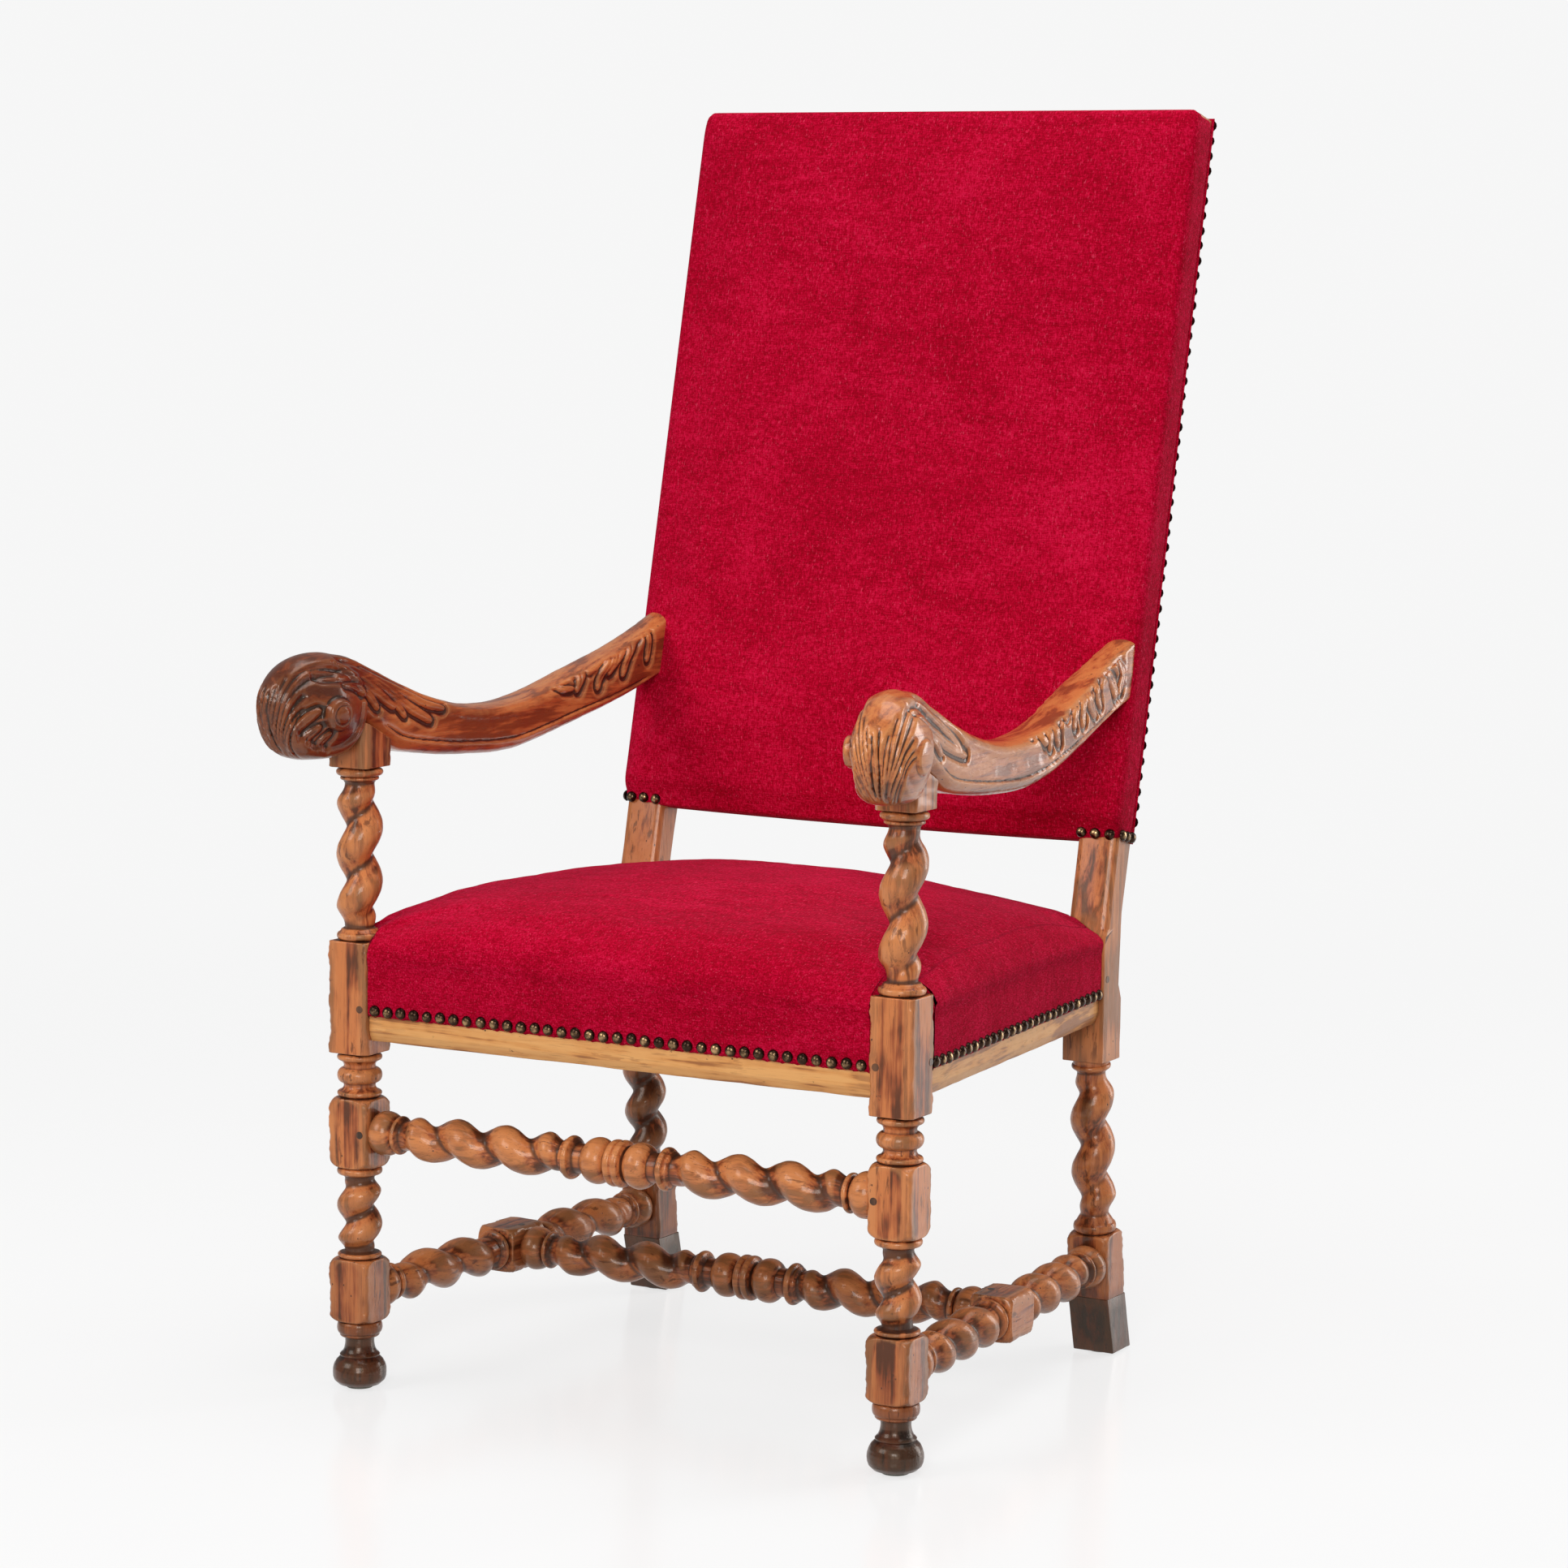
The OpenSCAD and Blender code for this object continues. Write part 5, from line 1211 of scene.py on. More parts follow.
@dataclass(frozen=True)
class Lobe:
    """One lobe of a carved leaf: a curve on the side of the arm, thin at its stem and rounded at its tip."""

    path: tuple[tuple[float, float], ...]
    wide: float = 3.2
    lift: float = 3.1
    vein: float = 0.9

    def fields(self, y: Array, z: Array) -> tuple[Array, Array]:
        """The lobe's own height and the distance to its outline.

        Args:
            y: Places along the arm.
            z: Heights.

        Returns:
            Height of the lobe, 0 outside it, and the distance outside its outline.
        """
        line = smooth_table(self.path, 6)
        t = np.linspace(0, 1, len(line))
        width = self.wide * (0.50 + 1.10 * np.sin(math.pi * np.minimum(1, 0.10 + 0.68 * t)) ** 1.4)
        width[-1] *= 0.82
        # Distance to the segments between the points of the curve.
        start, step = line[:-1], np.diff(line, axis=0)
        dy, dz = y[:, None] - start[:, 0], z[:, None] - start[:, 1]
        share = np.clip((dy * step[:, 0] + dz * step[:, 1]) / (step ** 2).sum(axis=1), 0, 1)
        near = np.hypot(dy - share * step[:, 0], dz - share * step[:, 1])
        wide = width[:-1] + share * np.diff(width)
        at = (near - wide).argmin(axis=1)
        rows = np.arange(len(y))
        dist, half = near[rows, at], wide[rows, at]
        along = t[:-1][at] + share[rows, at] * (t[1] - t[0])
        height = self.lift * np.clip(1 - (dist / half) ** 2, 0, 1) ** 0.62 * (0.35 + 0.65 * ease(along / 0.6))
        height -= self.vein * bell(dist / 0.9) * ease((along - 0.25) / 0.15) * ease((0.9 - along) / 0.12)
        return np.where(dist < half, height, 0.0), np.maximum(dist - half, 0)


INNER_LEAVES = tuple(Lobe(*row) for row in (
    (((-79, 670), (-34, 667), (3, 648), (33, 631)), 4.0),
    (((-50, 678), (-6, 662), (25, 647), (57, 629), (88, 614)), 4.0),
    (((-12, 670), (14, 658), (52, 642), (79, 631), (107, 624)), 3.4),
    (((-50, 660), (-32, 657), (-18, 648)), 3.0),
    (((-30, 657), (-8, 646), (6, 632)), 3.2),
    (((8, 650), (36, 634), (50, 621)), 3.0),
    (((446, 684), (424, 671), (406, 652), (395, 634)), 3.6),
    (((432, 682), (412, 668), (391, 654), (372, 637)), 3.4),
    (((420, 678), (403, 669), (378, 650), (359, 635), (354, 624)), 3.4),
    (((404, 672), (384, 662), (360, 650), (341, 641)), 3.0),
    (((345, 650), (330, 638), (322, 624)), 3.4),
    (((444, 680), (446, 664), (442, 645)), 3.2),
    (((284, 637), (298, 628), (315, 626)), 2.6),
    (((-100, 598), (-106, 614), (-99, 627), (-87, 636)), 3.8, 3.4),
    (((-87, 595), (-94, 609), (-85, 620)), 3.4, 3.0),
    (((-74, 596), (-78, 604), (-72, 613)), 3.0, 2.6),
))
OUTER_LEAVES = tuple(Lobe(*row) for row in (
    (((-68, 677), (-21, 654), (29, 633), (72, 619)), 3.6),
    (((-40, 676), (6, 656), (46, 636), (66, 621)), 3.0),
    (((-15, 652), (2, 638), (17, 625)), 3.2),
    (((476, 678), (440, 674), (405, 667), (352, 654), (300, 645), (262, 636)), 1.9, 2.6, 0.0),
    (((474, 674), (477, 662), (469, 650)), 3.8),
    (((453, 671), (462, 657), (451, 641)), 4.4),
    (((419, 666), (437, 652), (444, 638)), 4.6),
    (((400, 666), (390, 650), (398, 632)), 4.0),
    (((380, 660), (367, 644), (382, 626)), 4.6),
    (((365, 653), (352, 638), (349, 620)), 4.8),
    (((347, 648), (331, 635), (326, 620)), 4.6),
    (((329, 645), (314, 640), (304, 632)), 4.0),
    (((296, 642), (279, 627), (284, 609)), 4.6),
    (((280, 636), (265, 623), (264, 607)), 4.2),
    (((258, 632), (246, 623), (254, 612)), 3.6),
    (((243, 633), (234, 630), (226, 623)), 2.8),
))
# Place across the scroll's top, half width and depth in millimetres, and the angles between which a groove runs.
SCROLL_GROOVES = (
    (-48, 2.4, 2.4, -70, 4), (-40, 2.2, 2.6, -66, 16), (-32, 2.4, 3.0, -62, 34), (-25.5, 2.0, 2.6, -64, 110),
    (-20, 2.2, 2.8, -58, 120), (-14.5, 1.9, 2.4, -60, 44), (-10.5, 1.7, 2.6, -54, 30), (-6, 1.9, 3.0, -58, 24),
    (-2, 1.5, 2.2, -50, 12), (3, 1.9, 3.0, -60, 28), (7, 1.5, 2.0, -48, 16), (11.5, 1.9, 2.8, -56, 26),
    (16, 1.9, 2.4, -60, 48), (21, 2.2, 2.8, -58, 120), (26.5, 2.0, 2.6, -64, 110), (33, 2.4, 3.0, -62, 30),
    (41, 2.2, 2.6, -66, 12), (49, 2.4, 2.4, -70, 2))


@dataclass
class Arm:
    """One carved arm: a swept body, a scroll with upright ribs and leaves cut into its sides."""

    finishes: Finishes
    side: Side
    scroll_y: float = -60.5
    scroll_z: float = 638.0
    scroll_size: tuple[float, float, float] = (37.5, 57.0, 48.0)
    scroll_turn: float = math.radians(15)
    voxel: float = 1.3
    band: float = 10.5
    body_half: float = 22
    rear_half: float = 14.5
    ridge: tuple = ((-92, 662), (-66, 682), (-30, 682), (10, 668), (61, 648), (108, 633), (157, 623), (212, 620.5),
                    (270, 627), (335, 643), (403, 661), (455, 678), (500, 694))
    under: tuple = ((-92, 640), (-66, 624), (-23, 623.1), (21, 602), (51, 589), (108, 580.5), (157, 576.5), (212, 575),
                    (262, 581), (335, 596), (403, 612), (455, 624), (500, 635))
    section: tuple = ((0, 1), (0.42, 0.97), (0.78, 0.84), (0.96, 0.6), (1, 0.22), (1, -0.6), (0.62, -1), (0, -1))

    @property
    def scroll_half(self) -> float:
        """Distance of the scroll's middle from the middle of the chair; the old left arm leans in a little."""
        return self.side.pick((290.0, 297.0))

    def middle_x(self, y: Array) -> Array:
        """Distance of the arm's middle from the middle of the chair."""
        end = REAR_HALF + HALF - self.rear_half - 0.6
        ahead = np.where(y > 0, mix(286, 272, y / 230), mix(286, self.scroll_half, np.minimum(1, -y / 62)))
        return np.where(y > 230, mix(272, end, ease((y - 230) / 225)), ahead)

    def half_width(self, y: Array) -> Array:
        """Half the arm's width."""
        ahead = np.where(y > -30, self.body_half, mix(self.body_half, 15, ease((-30 - y) / 62)))
        return np.where(y > 380, mix(self.body_half, self.rear_half, ease((y - 380) / 107)), ahead)

    def sweep(self) -> Form:
        """The body of the arm as one closed tube."""
        top, low = smooth_table(self.ridge, 5), smooth_table(self.under, 5)
        full = list(self.section) + [(-x, z) for x, z in reversed(self.section[1:-1])]
        loop = smooth_table(full + [full[0]], 4)[:-1]
        bm = tube(len(top), len(loop))
        i, k, pole = tube_places(points_of(bm), len(top), len(loop))
        u, v = (np.where(pole, 0.0, loop[k, axis]) for axis in (0, 1))
        y, z = (mix(low[i, axis], top[i, axis], (v + 1) / 2) for axis in (0, 1))
        square = np.maximum(np.maximum(np.abs(u), np.abs(v)), 0.3) ** (-0.9 * ease((y - 400) / 70))
        put_points(bm, np.stack([self.middle_x(y) + self.half_width(y) * (u * square), y, z], axis=1))
        bmesh.ops.recalc_face_normals(bm, faces=bm.faces)
        return bm

    def scroll(self) -> Form:
        """The rounded head of the scroll before carving, turned outwards."""
        bm = bmesh.new()
        bmesh.ops.create_uvsphere(bm, u_segments=64, v_segments=40, radius=1.0)
        p = points_of(bm)
        level = np.arcsin(np.clip(p[:, 2], -1, 1))
        round_off = np.where(level > 0, 1.15, 0.62) - 1
        sx, sy, sz = self.scroll_size
        across = sx * p[:, 0] * np.cos(level) ** round_off
        ahead = -sy * p[:, 1] * np.cos(level) ** np.minimum(round_off, -0.1)
        c, s = math.cos(self.scroll_turn), math.sin(self.scroll_turn)
        put_points(bm, np.stack([self.scroll_half + across * c + ahead * s, self.scroll_y + across * s - ahead * c,
                                 self.scroll_z + sz * p[:, 2]], axis=1))
        return bm

    def build(self) -> None:
        """Builds, carves and places the arm."""
        bm = self.sweep()
        cut(bm, (0, REAR_FRONT + (650 - LEAN_Z) * BACK_LEAN + 2, 650), (0, math.cos(LEAN), -math.sin(LEAN)))
        join(bm, self.scroll())
        mesh = remeshed(bm, self.voxel, 4)
        co, normal = read(mesh.vertices, "co"), read(mesh.vertices, "normal")
        local = co + normal * self.carving(co, normal)[:, None]
        write(mesh.vertices, "co", (local * (self.side.value, 1, 1) + (0, PLAN_SHIFT, 0)) * MM)
        if self.side is Side.LEFT:
            mesh.flip_normals()
        mesh.update()
        # Painted shade on the left arm, strongest at its scroll.
        shade = self.side.pick((1, 0)) * (0.88 - 0.86 * ease((local[:, 1] + 50) / 110))
        Piece.of("arm_" + self.side.word, "carved", self.finishes.carved, "carved_wood", grain=Grain.Y, rounds=10,
                 relief_scale=2.5, sharp=70, shade=shade).dress(mesh, local)

    def leaves(self, lobes: Sequence[Lobe], y: Array, z: Array) -> Array:
        """Relief of a group of leaves with the ground cut away round them.

        Args:
            lobes: The lobes.
            y: Places along the arm.
            z: Heights.

        Returns:
            The relief, in millimetres.
        """
        high, away = np.zeros(len(y)), np.full(len(y), 99.0)
        for lobe in lobes:
            (y0, z0), (y1, z1) = np.min(lobe.path, axis=0) - 14, np.max(lobe.path, axis=0) + 14
            close = (y > y0) & (y < y1) & (z > z0) & (z < z1)
            height, gap = lobe.fields(y[close], z[close])
            high[close] = np.maximum(high[close], height)
            away[close] = np.minimum(away[close], gap)
        return -2.9 * (1 - ease((away - 1.6) / 5.0)) + high

    def carving(self, co: Array, normal: Array) -> Array:
        """Depth of the carving at each point, along the normal.

        Args:
            co: Points of the right hand arm in millimetres.
            normal: Their normals.

        Returns:
            The displacement, negative where wood is cut away.
        """
        x, y, z = co.T
        inner_side, sideways = normal[:, 0] < 0, np.abs(normal[:, 0])
        side_facing = ease((sideways - 0.35) / 0.3)
        # Grooves fan out from the lower end of the scroll; the outer ones run on over its top.
        _, sy, sz = self.scroll_size
        c, s = math.cos(self.scroll_turn), math.sin(self.scroll_turn)
        across = (x - self.scroll_half) * c + (y - self.scroll_y) * s
        ahead = (x - self.scroll_half) * s - (y - self.scroll_y) * c
        around = np.degrees(np.arctan2((z - self.scroll_z) / sz, ahead / sy))
        fan = 0.20 + 0.80 * ease((around + 80) / 130)
        rim = np.hypot(ahead / sy, (z - self.scroll_z) / sz)
        depth = np.zeros(len(co))
        for at, wide, deep, start, end in SCROLL_GROOVES:
            gap = np.abs(across - at * fan - 0.8 * np.sin(around * 0.06 + at)) / np.maximum(wide * fan, 1.25)
            groove = deep * (bell(gap) - 0.22 * bell(gap / 2.2)) * ease((end - around) / 10)
            depth -= groove * ease((around - start) / 14) * ease((rim - 0.52) / 0.12) * (y < -6) * (around > -89)
        # Hollow between them and the eye of the scroll.
        eye = np.hypot(y + 66, z - 632)
        head = ease((-10 - y) / 16) * ease((sideways - 0.5) / 0.25)
        depth -= (head * np.where(inner_side, 4.8, 2.4) * ease((0.90 - rim) / 0.14) * ease((eye - 13) / 4)
                  * ease((y + 122) / 6))
        inward = head * inner_side
        depth += inward * np.where(eye < 14.5, 3.4 * np.sqrt(np.clip(1 - (eye / 14.6) ** 2, 0, 1)), 0)
        depth -= inward * 1.3 * bell(eye - 8.5)
        # Leaves on both sides and the line above the lower edge.
        leaves = np.where(inner_side, self.leaves(INNER_LEAVES, y, z), self.leaves(OUTER_LEAVES, y, z))
        depth += np.where(y < -50, head, side_facing) * leaves * ease((470 - y) / 12)
        top, low = (np.interp(y, *smooth_table(edge, 6).T) for edge in (self.ridge, self.under))
        line = low + self.band * (1 - 0.45 * ease((y - 300) / 130))
        body = side_facing * ease((y - 8) / 24) * ease((452 - y) / 20)
        above = ease((z - line) / 1.6)
        depth += body * (-1.2 * bell((z - line - 0.6) / 1.1) - 2.0 * above * ease((top - 5 - z) / 12))
        return depth + 0.28 * unevenness(co, (1, 0.05), (0.5, 0.13))


def remeshed(bm: Form, voxel: float, smooth: int) -> bpy.types.Mesh:
    """Melts overlapping closed forms into one even mesh.

    Args:
        bm: The forms, in millimetres. It is freed.
        voxel: Size of the new faces.
        smooth: Rounds of smoothing after it.

    Returns:
        The new mesh, in millimetres.
    """
    mesh = mesh_from(bm, "melted")
    obj = placed("melted", mesh)
    step = obj.modifiers.new("remesh", "REMESH")
    step.mode = "VOXEL"
    step.voxel_size = voxel
    relax = obj.modifiers.new("relax", "SMOOTH")
    relax.iterations = smooth
    relax.factor = 0.5
    made = evaluated(obj)
    bpy.data.objects.remove(obj)
    bpy.data.meshes.remove(mesh)
    return made


# ---- upholstery


def rounded_loop(hw: float, v0: float, v1: float, r: float, count: int) -> Array:
    """A rounded rectangle from the middle of its lower side, counter-clockwise.

    Args:
        hw: Half its width.
        v0: Its lower side.
        v1: Its upper side.
        r: Radius of its corners.
        count: Number of points.

    Returns:
        Points evenly spaced along it.
    """
    r = min(r, 0.9 * hw, 0.45 * (v1 - v0))
    pts = [(0.0, v0)]
    for cu, cv, start in ((hw - r, v0 + r, -90), (hw - r, v1 - r, 0), (-hw + r, v1 - r, 90), (-hw + r, v0 + r, 180)):
        pts += [(cu + r * math.cos(a), cv + r * math.sin(a)) for a in np.radians(np.linspace(start, start + 90, 9))]
    pts.append((0.0, v0))
    p = np.array(pts)
    s = np.concatenate([[0], np.cumsum(np.hypot(*np.diff(p, axis=0).T))])
    at = np.arange(count) / count * s[-1]
    return np.stack([np.interp(at, s, p[:, 0]), np.interp(at, s, p[:, 1])], axis=1)


def lofted(loops: Sequence[Array], low_pole: Sequence[float], high_pole: Sequence[float]) -> Form:
    """A closed form from loops with the same number of points, spun and then moved.

    Args:
        loops: Arrays of points in space.
        low_pole: Centre that closes the first loop.
        high_pole: Centre that closes the last loop.

    Returns:
        The bmesh.
    """
    bm = tube(len(loops), len(loops[0]))
    raw = points_of(bm)
    i, k, _ = tube_places(raw, len(loops), len(loops[0]))
    out = np.stack(loops)[i, k]
    out[raw[:, 2] < -0.5] = low_pole
    out[raw[:, 2] > len(loops) - 0.5] = high_pole
    put_points(bm, out)
    bmesh.ops.recalc_face_normals(bm, faces=bm.faces)
    return bm


def side_rail_x(y: Number) -> Number:
    """Distance of a side rail's outer face from the middle of the chair."""
    return mix(FRONT_HALF, REAR_HALF, (y - HALF) / (REAR_FRONT - HALF)) + HALF - RAIL_INSET


@dataclass
class Cushion:
    """A stuffed form that is blown up by cloth simulation inside its cover."""

    cap: float
    pressure: float = 4.0
    last_frame: int = 15

    def inflate(self, mesh: bpy.types.Mesh, held: Callable[[Array], Array]) -> bpy.types.Mesh:
        """Runs the cloth simulation on a mesh in millimetres.

        Args:
            mesh: The closed form.
            held: Gives 1 where a point is nailed down and 0 where it is free.

        Returns:
            The swollen mesh, in millimetres.
        """
        before = read(mesh.vertices, "co")
        weights = held(before)
        write(mesh.vertices, "co", before * MM)
        obj = placed("stuffed", mesh)
        group = obj.vertex_groups.new(name="nailed")
        steps = np.round(weights, 1)
        for weight in np.unique(steps):
            if weight > 0:
                group.add(np.nonzero(steps == weight)[0].tolist(), float(weight), "REPLACE")
        cloth = obj.modifiers.new("cloth", "CLOTH")
        s = cloth.settings
        s.quality = 5
        s.mass = 0.3
        s.use_pressure = True
        s.uniform_pressure_force = self.pressure
        s.vertex_group_mass = "nailed"
        s.effector_weights.gravity = 0.0
        s.tension_stiffness = s.compression_stiffness = 12
        s.bending_stiffness = 0.4
        cloth.collision_settings.use_self_collision = False
        scene = bpy.context.scene
        for number in range(1, self.last_frame + 1):
            scene.frame_set(number)
        made = evaluated(obj)
        scene.frame_set(1)
        bpy.data.objects.remove(obj)
        move = read(made.vertices, "co") / MM - before
        size = np.linalg.norm(move, axis=1, keepdims=True)
        move *= np.minimum(1, self.cap / np.maximum(size, 1e-6)) * (1 - weights[:, None])
        write(made.vertices, "co", before + move)
        log.info("cloth moved up to %.1f mm, mean %.1f mm", size.max(), size.mean())
        return made

    def cover(self, bm: Form, held: Callable[[Array], Array],
              shape: Callable[[Array, Array], Array]) -> Form:
        """Melts, inflates and subdivides a form and gives it its last shape.

        Args:
            bm: The form in millimetres. It is freed.
            held: Gives 1 where a point is nailed down and 0 where it is free.
            shape: Moves the points, from points and normals.

        Returns:
            The cover.
        """
        mesh = self.inflate(remeshed(bm, CLOTH_VOXEL, 1), held)
        bm = bmesh.new()
        bm.from_mesh(mesh)
        bpy.data.meshes.remove(mesh)
        for _ in range(3):
            bmesh.ops.smooth_vert(bm, verts=bm.verts, factor=0.5, use_axis_x=True, use_axis_y=True, use_axis_z=True)
        bmesh.ops.subdivide_edges(bm, edges=bm.edges, cuts=1, use_grid_fill=True, smooth=0.9)
        bm.normal_update()
        put_points(bm, shape(points_of(bm), np.array([v.normal for v in bm.verts])))
        bm.normal_update()
        return bm


@dataclass
class Seat:
    """The stuffed seat in its velvet cover."""

    finishes: Finishes
    front_y: float = -HALF + RAIL_INSET
    rear_y: float = REAR_BACK - RAIL_INSET
    drops: tuple = ((185, 1), (145, 6.5), (98, 14), (60, 20), (28, 27), (12, 34), (2, 43), (-3.5, 54))
    lining_z: float = RAIL_TOP + 2 * WEB_T + HESSIAN_T + 0.5
    post_gap: float = 0.35

    def sink(self, x: Array, y: Array, z: float) -> Array:
        """How far the stuffing sinks towards the posts and the rear rail."""
        x = np.abs(x)
        return float(np.clip((z - RAIL_TOP) / 40, 0, 1)) * (
            14 * np.exp(-((x - FRONT_HALF + 10) ** 2 + y ** 2) / 4900)
            + 20 * np.exp(-((x - REAR_HALF + 4) ** 2 + (y - REAR_FRONT - 24) ** 2) / 14400)
            + 3 * np.exp(-(self.rear_y - y) ** 2 / 6400))

    def loop(self, inset: float, z: float) -> Array:
        """A loop of the seat at an inset from the rail faces, at a height."""
        hw = side_rail_x(self.front_y) - inset
        q = rounded_loop(hw, self.front_y + inset, self.rear_y - inset, 6 + max(inset, 0), LOOP_POINTS)
        x = q[:, 0] * (side_rail_x(q[:, 1]) - inset) / hw
        return np.stack([x, q[:, 1], z - self.sink(x, q[:, 1], z)], axis=1)

    def inset_of(self, p: Array) -> Array:
        """Distance of points inside the outer faces of the rails."""
        sides = side_rail_x(p[:, 1]) - np.abs(p[:, 0])
        return np.minimum(sides, np.minimum(p[:, 1] - self.front_y, self.rear_y - p[:, 1]))

    def held(self, p: Array) -> Array:
        """1 at the nailed hem and on the lining, 0 on the free velvet."""
        hem = 1 - ease((p[:, 2] - 368) / 60)
        return np.maximum(hem, (p[:, 2] < 412) & (self.inset_of(p) > 10))

    def notch(self, p: Array) -> Array:
        """Pushes points out of the posts that stand in the corners of the seat."""
        out = p.copy()
        x, y = np.abs(p[:, 0]), p[:, 1]
        gap = self.post_gap
        for wall, face, before in ((FRONT_HALF - HALF - gap, HALF + gap, 1),
                                   (REAR_HALF - HALF - gap, REAR_FRONT - gap, -1)):
            dx, dy = x - wall, (face - y) * before
            inside = (dx > 0) & (dy > 0)
            to_x = inside & (dx < dy)
            out[to_x, 0] = np.sign(p[to_x, 0]) * wall
            out[inside & ~to_x, 1] = face
            # The velvet is tucked in where it meets a post.
            near = np.where(inside, 0, np.maximum(np.maximum(-dx, 0), np.maximum(-dy, 0)))
            out[:, 2] -= 3.0 * (1 - ease(near / 9)) * ease((p[:, 2] - 425) / 20)
        return out

    def shape(self, p: Array, normal: Array) -> Array:
        """Last shape of the cover: nail dimples, a wavy lower edge, soft unevenness and the notches."""
        out = p.copy()
        inset = self.inset_of(p)
        outer = (inset < 6) & (p[:, 2] < RAIL_TOP + 14)
        along = np.where(np.abs(normal[:, 0]) > 0.6, p[:, 1], p[:, 0])
        wander = unevenness(p, (1, 0.012), (0.5, 0.03), (0.25, 0.07))
        out += normal * (1.5 * wander * ease((p[:, 2] - 380) / 40) * (inset < 150))[:, None]
        out += normal * (0.8 * wander * (inset >= 150))[:, None]
        pull = bell((p[:, 2] - VELVET_LOW - 9) / 7) * outer
        between = 0.5 - 0.5 * np.cos(along * FULL / NAIL_STEP)
        flat = np.where(outer, np.maximum(inset + FIT + VELVET, 0), 0)
        out += normal * (flat * (p[:, 2] < RAIL_TOP))[:, None]
        out += normal * (pull * (0.35 * between - 0.5) + 0.35 * wander * outer)[:, None]
        low = outer & (p[:, 2] < VELVET_LOW + 2.6)
        edge = 0.5 * np.sin(along * 0.43) + 0.4 * np.sin(along * 1.7 + 1) + 0.3 * wander
        out[low, 2] = VELVET_LOW + 0.2 + edge[low] + 0.5 * (p[low, 2] - VELVET_LOW)
        return self.notch(out)

    def build(self) -> None:
        """Builds the cover with the stuffing in it."""
        outer = -FIT - VELVET
        profile = smooth_table([(q + outer, SEAT_CROWN - z) for q, z in self.drops]
                               + [(outer - SEAT_SWELL * 0.8, 412), (outer, 400), (outer, 375), (outer, VELVET_LOW)], 4)
        loops = [self.loop(212 + outer, SEAT_CROWN - 0.4), *(self.loop(float(q), float(z)) for q, z in profile),
                 self.loop(19, VELVET_LOW), self.loop(19, self.lining_z - 6), self.loop(25, self.lining_z)]
        bm = lofted(loops, (0, SEAT_MID_Y, SEAT_CROWN), (0, SEAT_MID_Y, self.lining_z))
        bm = Cushion(cap=3.5).cover(bm, self.held, self.shape)
        x, y, z = points_of(bm).T
        obj = Piece("seat_velvet", self.finishes.velvet, "velvet", ("seat_cover", "seat_stuffing"), rounds=2,
                    sharp=180).make(bm)
        down = np.maximum(0, 455 - z)
        side = np.abs(x) > side_rail_x(y) - 14
        give_attribute(obj.data, "weave", np.stack([x + np.sign(x) * down * side, y - down * ~side, z], axis=1) * MM)


